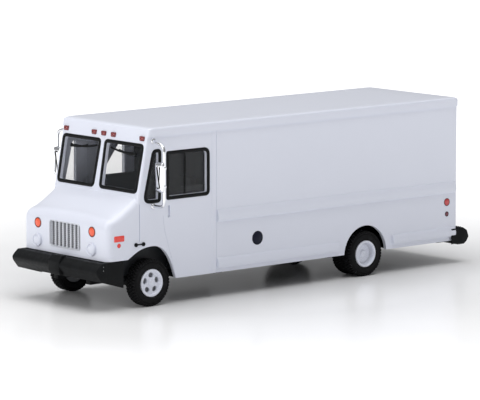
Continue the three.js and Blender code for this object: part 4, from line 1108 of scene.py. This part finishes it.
# ---- floor, light and camera ----
def make_stage():
    """A pale floor whose weak glow rises with distance from the truck, and an even surround."""
    floor = bpy.data.objects.new("floor", bpy.data.meshes.new("floor"))
    side = 4
    floor.data.from_pydata([(x, y, 0) for x, y in ((-side, -side), (side, -side), (side, side),
                                                   (-side, side))], [], [(0, 1, 2, 3)])
    bpy.context.scene.collection.objects.link(floor)
    material, nodes, links, shader = finish_nodes("studio_floor", (0.97, 0.97, 0.975), 0.22,
                                                  [("Specular IOR Level", 0.35)])
    sheen = noise(nodes, links, 60 * MM, 2)
    links.new(ranged(nodes, links, sheen.outputs["Fac"], 0.2, 0.26), shader.inputs["Roughness"])
    place = nodes.new("ShaderNodeTexCoord")
    reach = nodes.new("ShaderNodeVectorMath")
    reach.operation = "LENGTH"
    links.new(place.outputs["Object"], reach.inputs[0])
    shader.inputs["Emission Color"].default_value = (1, 1, 1, 1)
    links.new(ranged(nodes, links, reach.outputs["Value"], 0, 0.75, 0.06, 0.26),
              shader.inputs["Emission Strength"])
    floor.data.materials.append(material)
    world = bpy.data.worlds.new("studio")
    world.use_nodes = True
    world.node_tree.nodes["Background"].inputs["Color"].default_value = (0.98, 0.985, 1, 1)
    world.node_tree.nodes["Background"].inputs["Strength"].default_value = 0.33
    bpy.context.scene.world = world
    bpy.context.scene.view_settings.view_transform = "Standard"


def soft_light(name, place, target, size, power):
    light = bpy.data.objects.new(name, bpy.data.lights.new(name, "AREA"))
    light.data.shape = "RECTANGLE"
    light.data.size, light.data.size_y = size
    light.data.energy = power
    light.location = place
    light.rotation_euler = (Vector(target) - Vector(place)).to_track_quat("-Z", "Y").to_euler()
    bpy.context.scene.collection.objects.link(light)


def make_lights():
    soft_light("overhead", (0.05, 0.02, 0.55), (0, 0, 0.02), (0.6, 0.5), 2.45)
    soft_light("front_fill", (0.6, -0.02, 0.28), (0, 0, 0.03), (0.35, 0.3), 1.0)


def make_camera():
    """The view: 139.5 degrees round and 9.28 up, from 1.013 m, with a long lens. The camera aims a little
    off the axle midpoint, along back and the two sideways offsets that frame the truck."""
    around, up_angle, distance, focal = math.radians(139.49), math.radians(9.28), 1.0128, 3586 / 480
    back = np.array((math.sin(around) * math.cos(up_angle), -math.cos(around) * math.cos(up_angle),
                     math.sin(up_angle)))
    right = np.array((math.cos(around), math.sin(around), 0))
    up = np.cross(back, right)
    target = np.array(((FRONT_AXLE + REAR_AXLE)[0] / 2, 0, 0))
    aim = -back + right * 0.0456 / focal + up * 0.1725 / focal
    data = bpy.data.cameras.new("camera")
    data.sensor_width = 36
    data.lens = focal * 36
    data.clip_start, data.clip_end = 0.01, 50
    camera = bpy.data.objects.new("camera", data)
    camera.location = target + back * distance
    camera.rotation_euler = Vector(aim).to_track_quat("-Z", "Y").to_euler()
    bpy.context.scene.collection.objects.link(camera)
    bpy.context.scene.camera = camera


make_camera()
make_lights()
make_stage()
make_body()
make_windows()
make_grille()
make_lamps()
make_side_trim()
make_front_bumper()
make_rear_bumper()
make_wheels()
make_mirrors()
make_window_fittings()
make_steering_wheel()
make_plain_nodes()
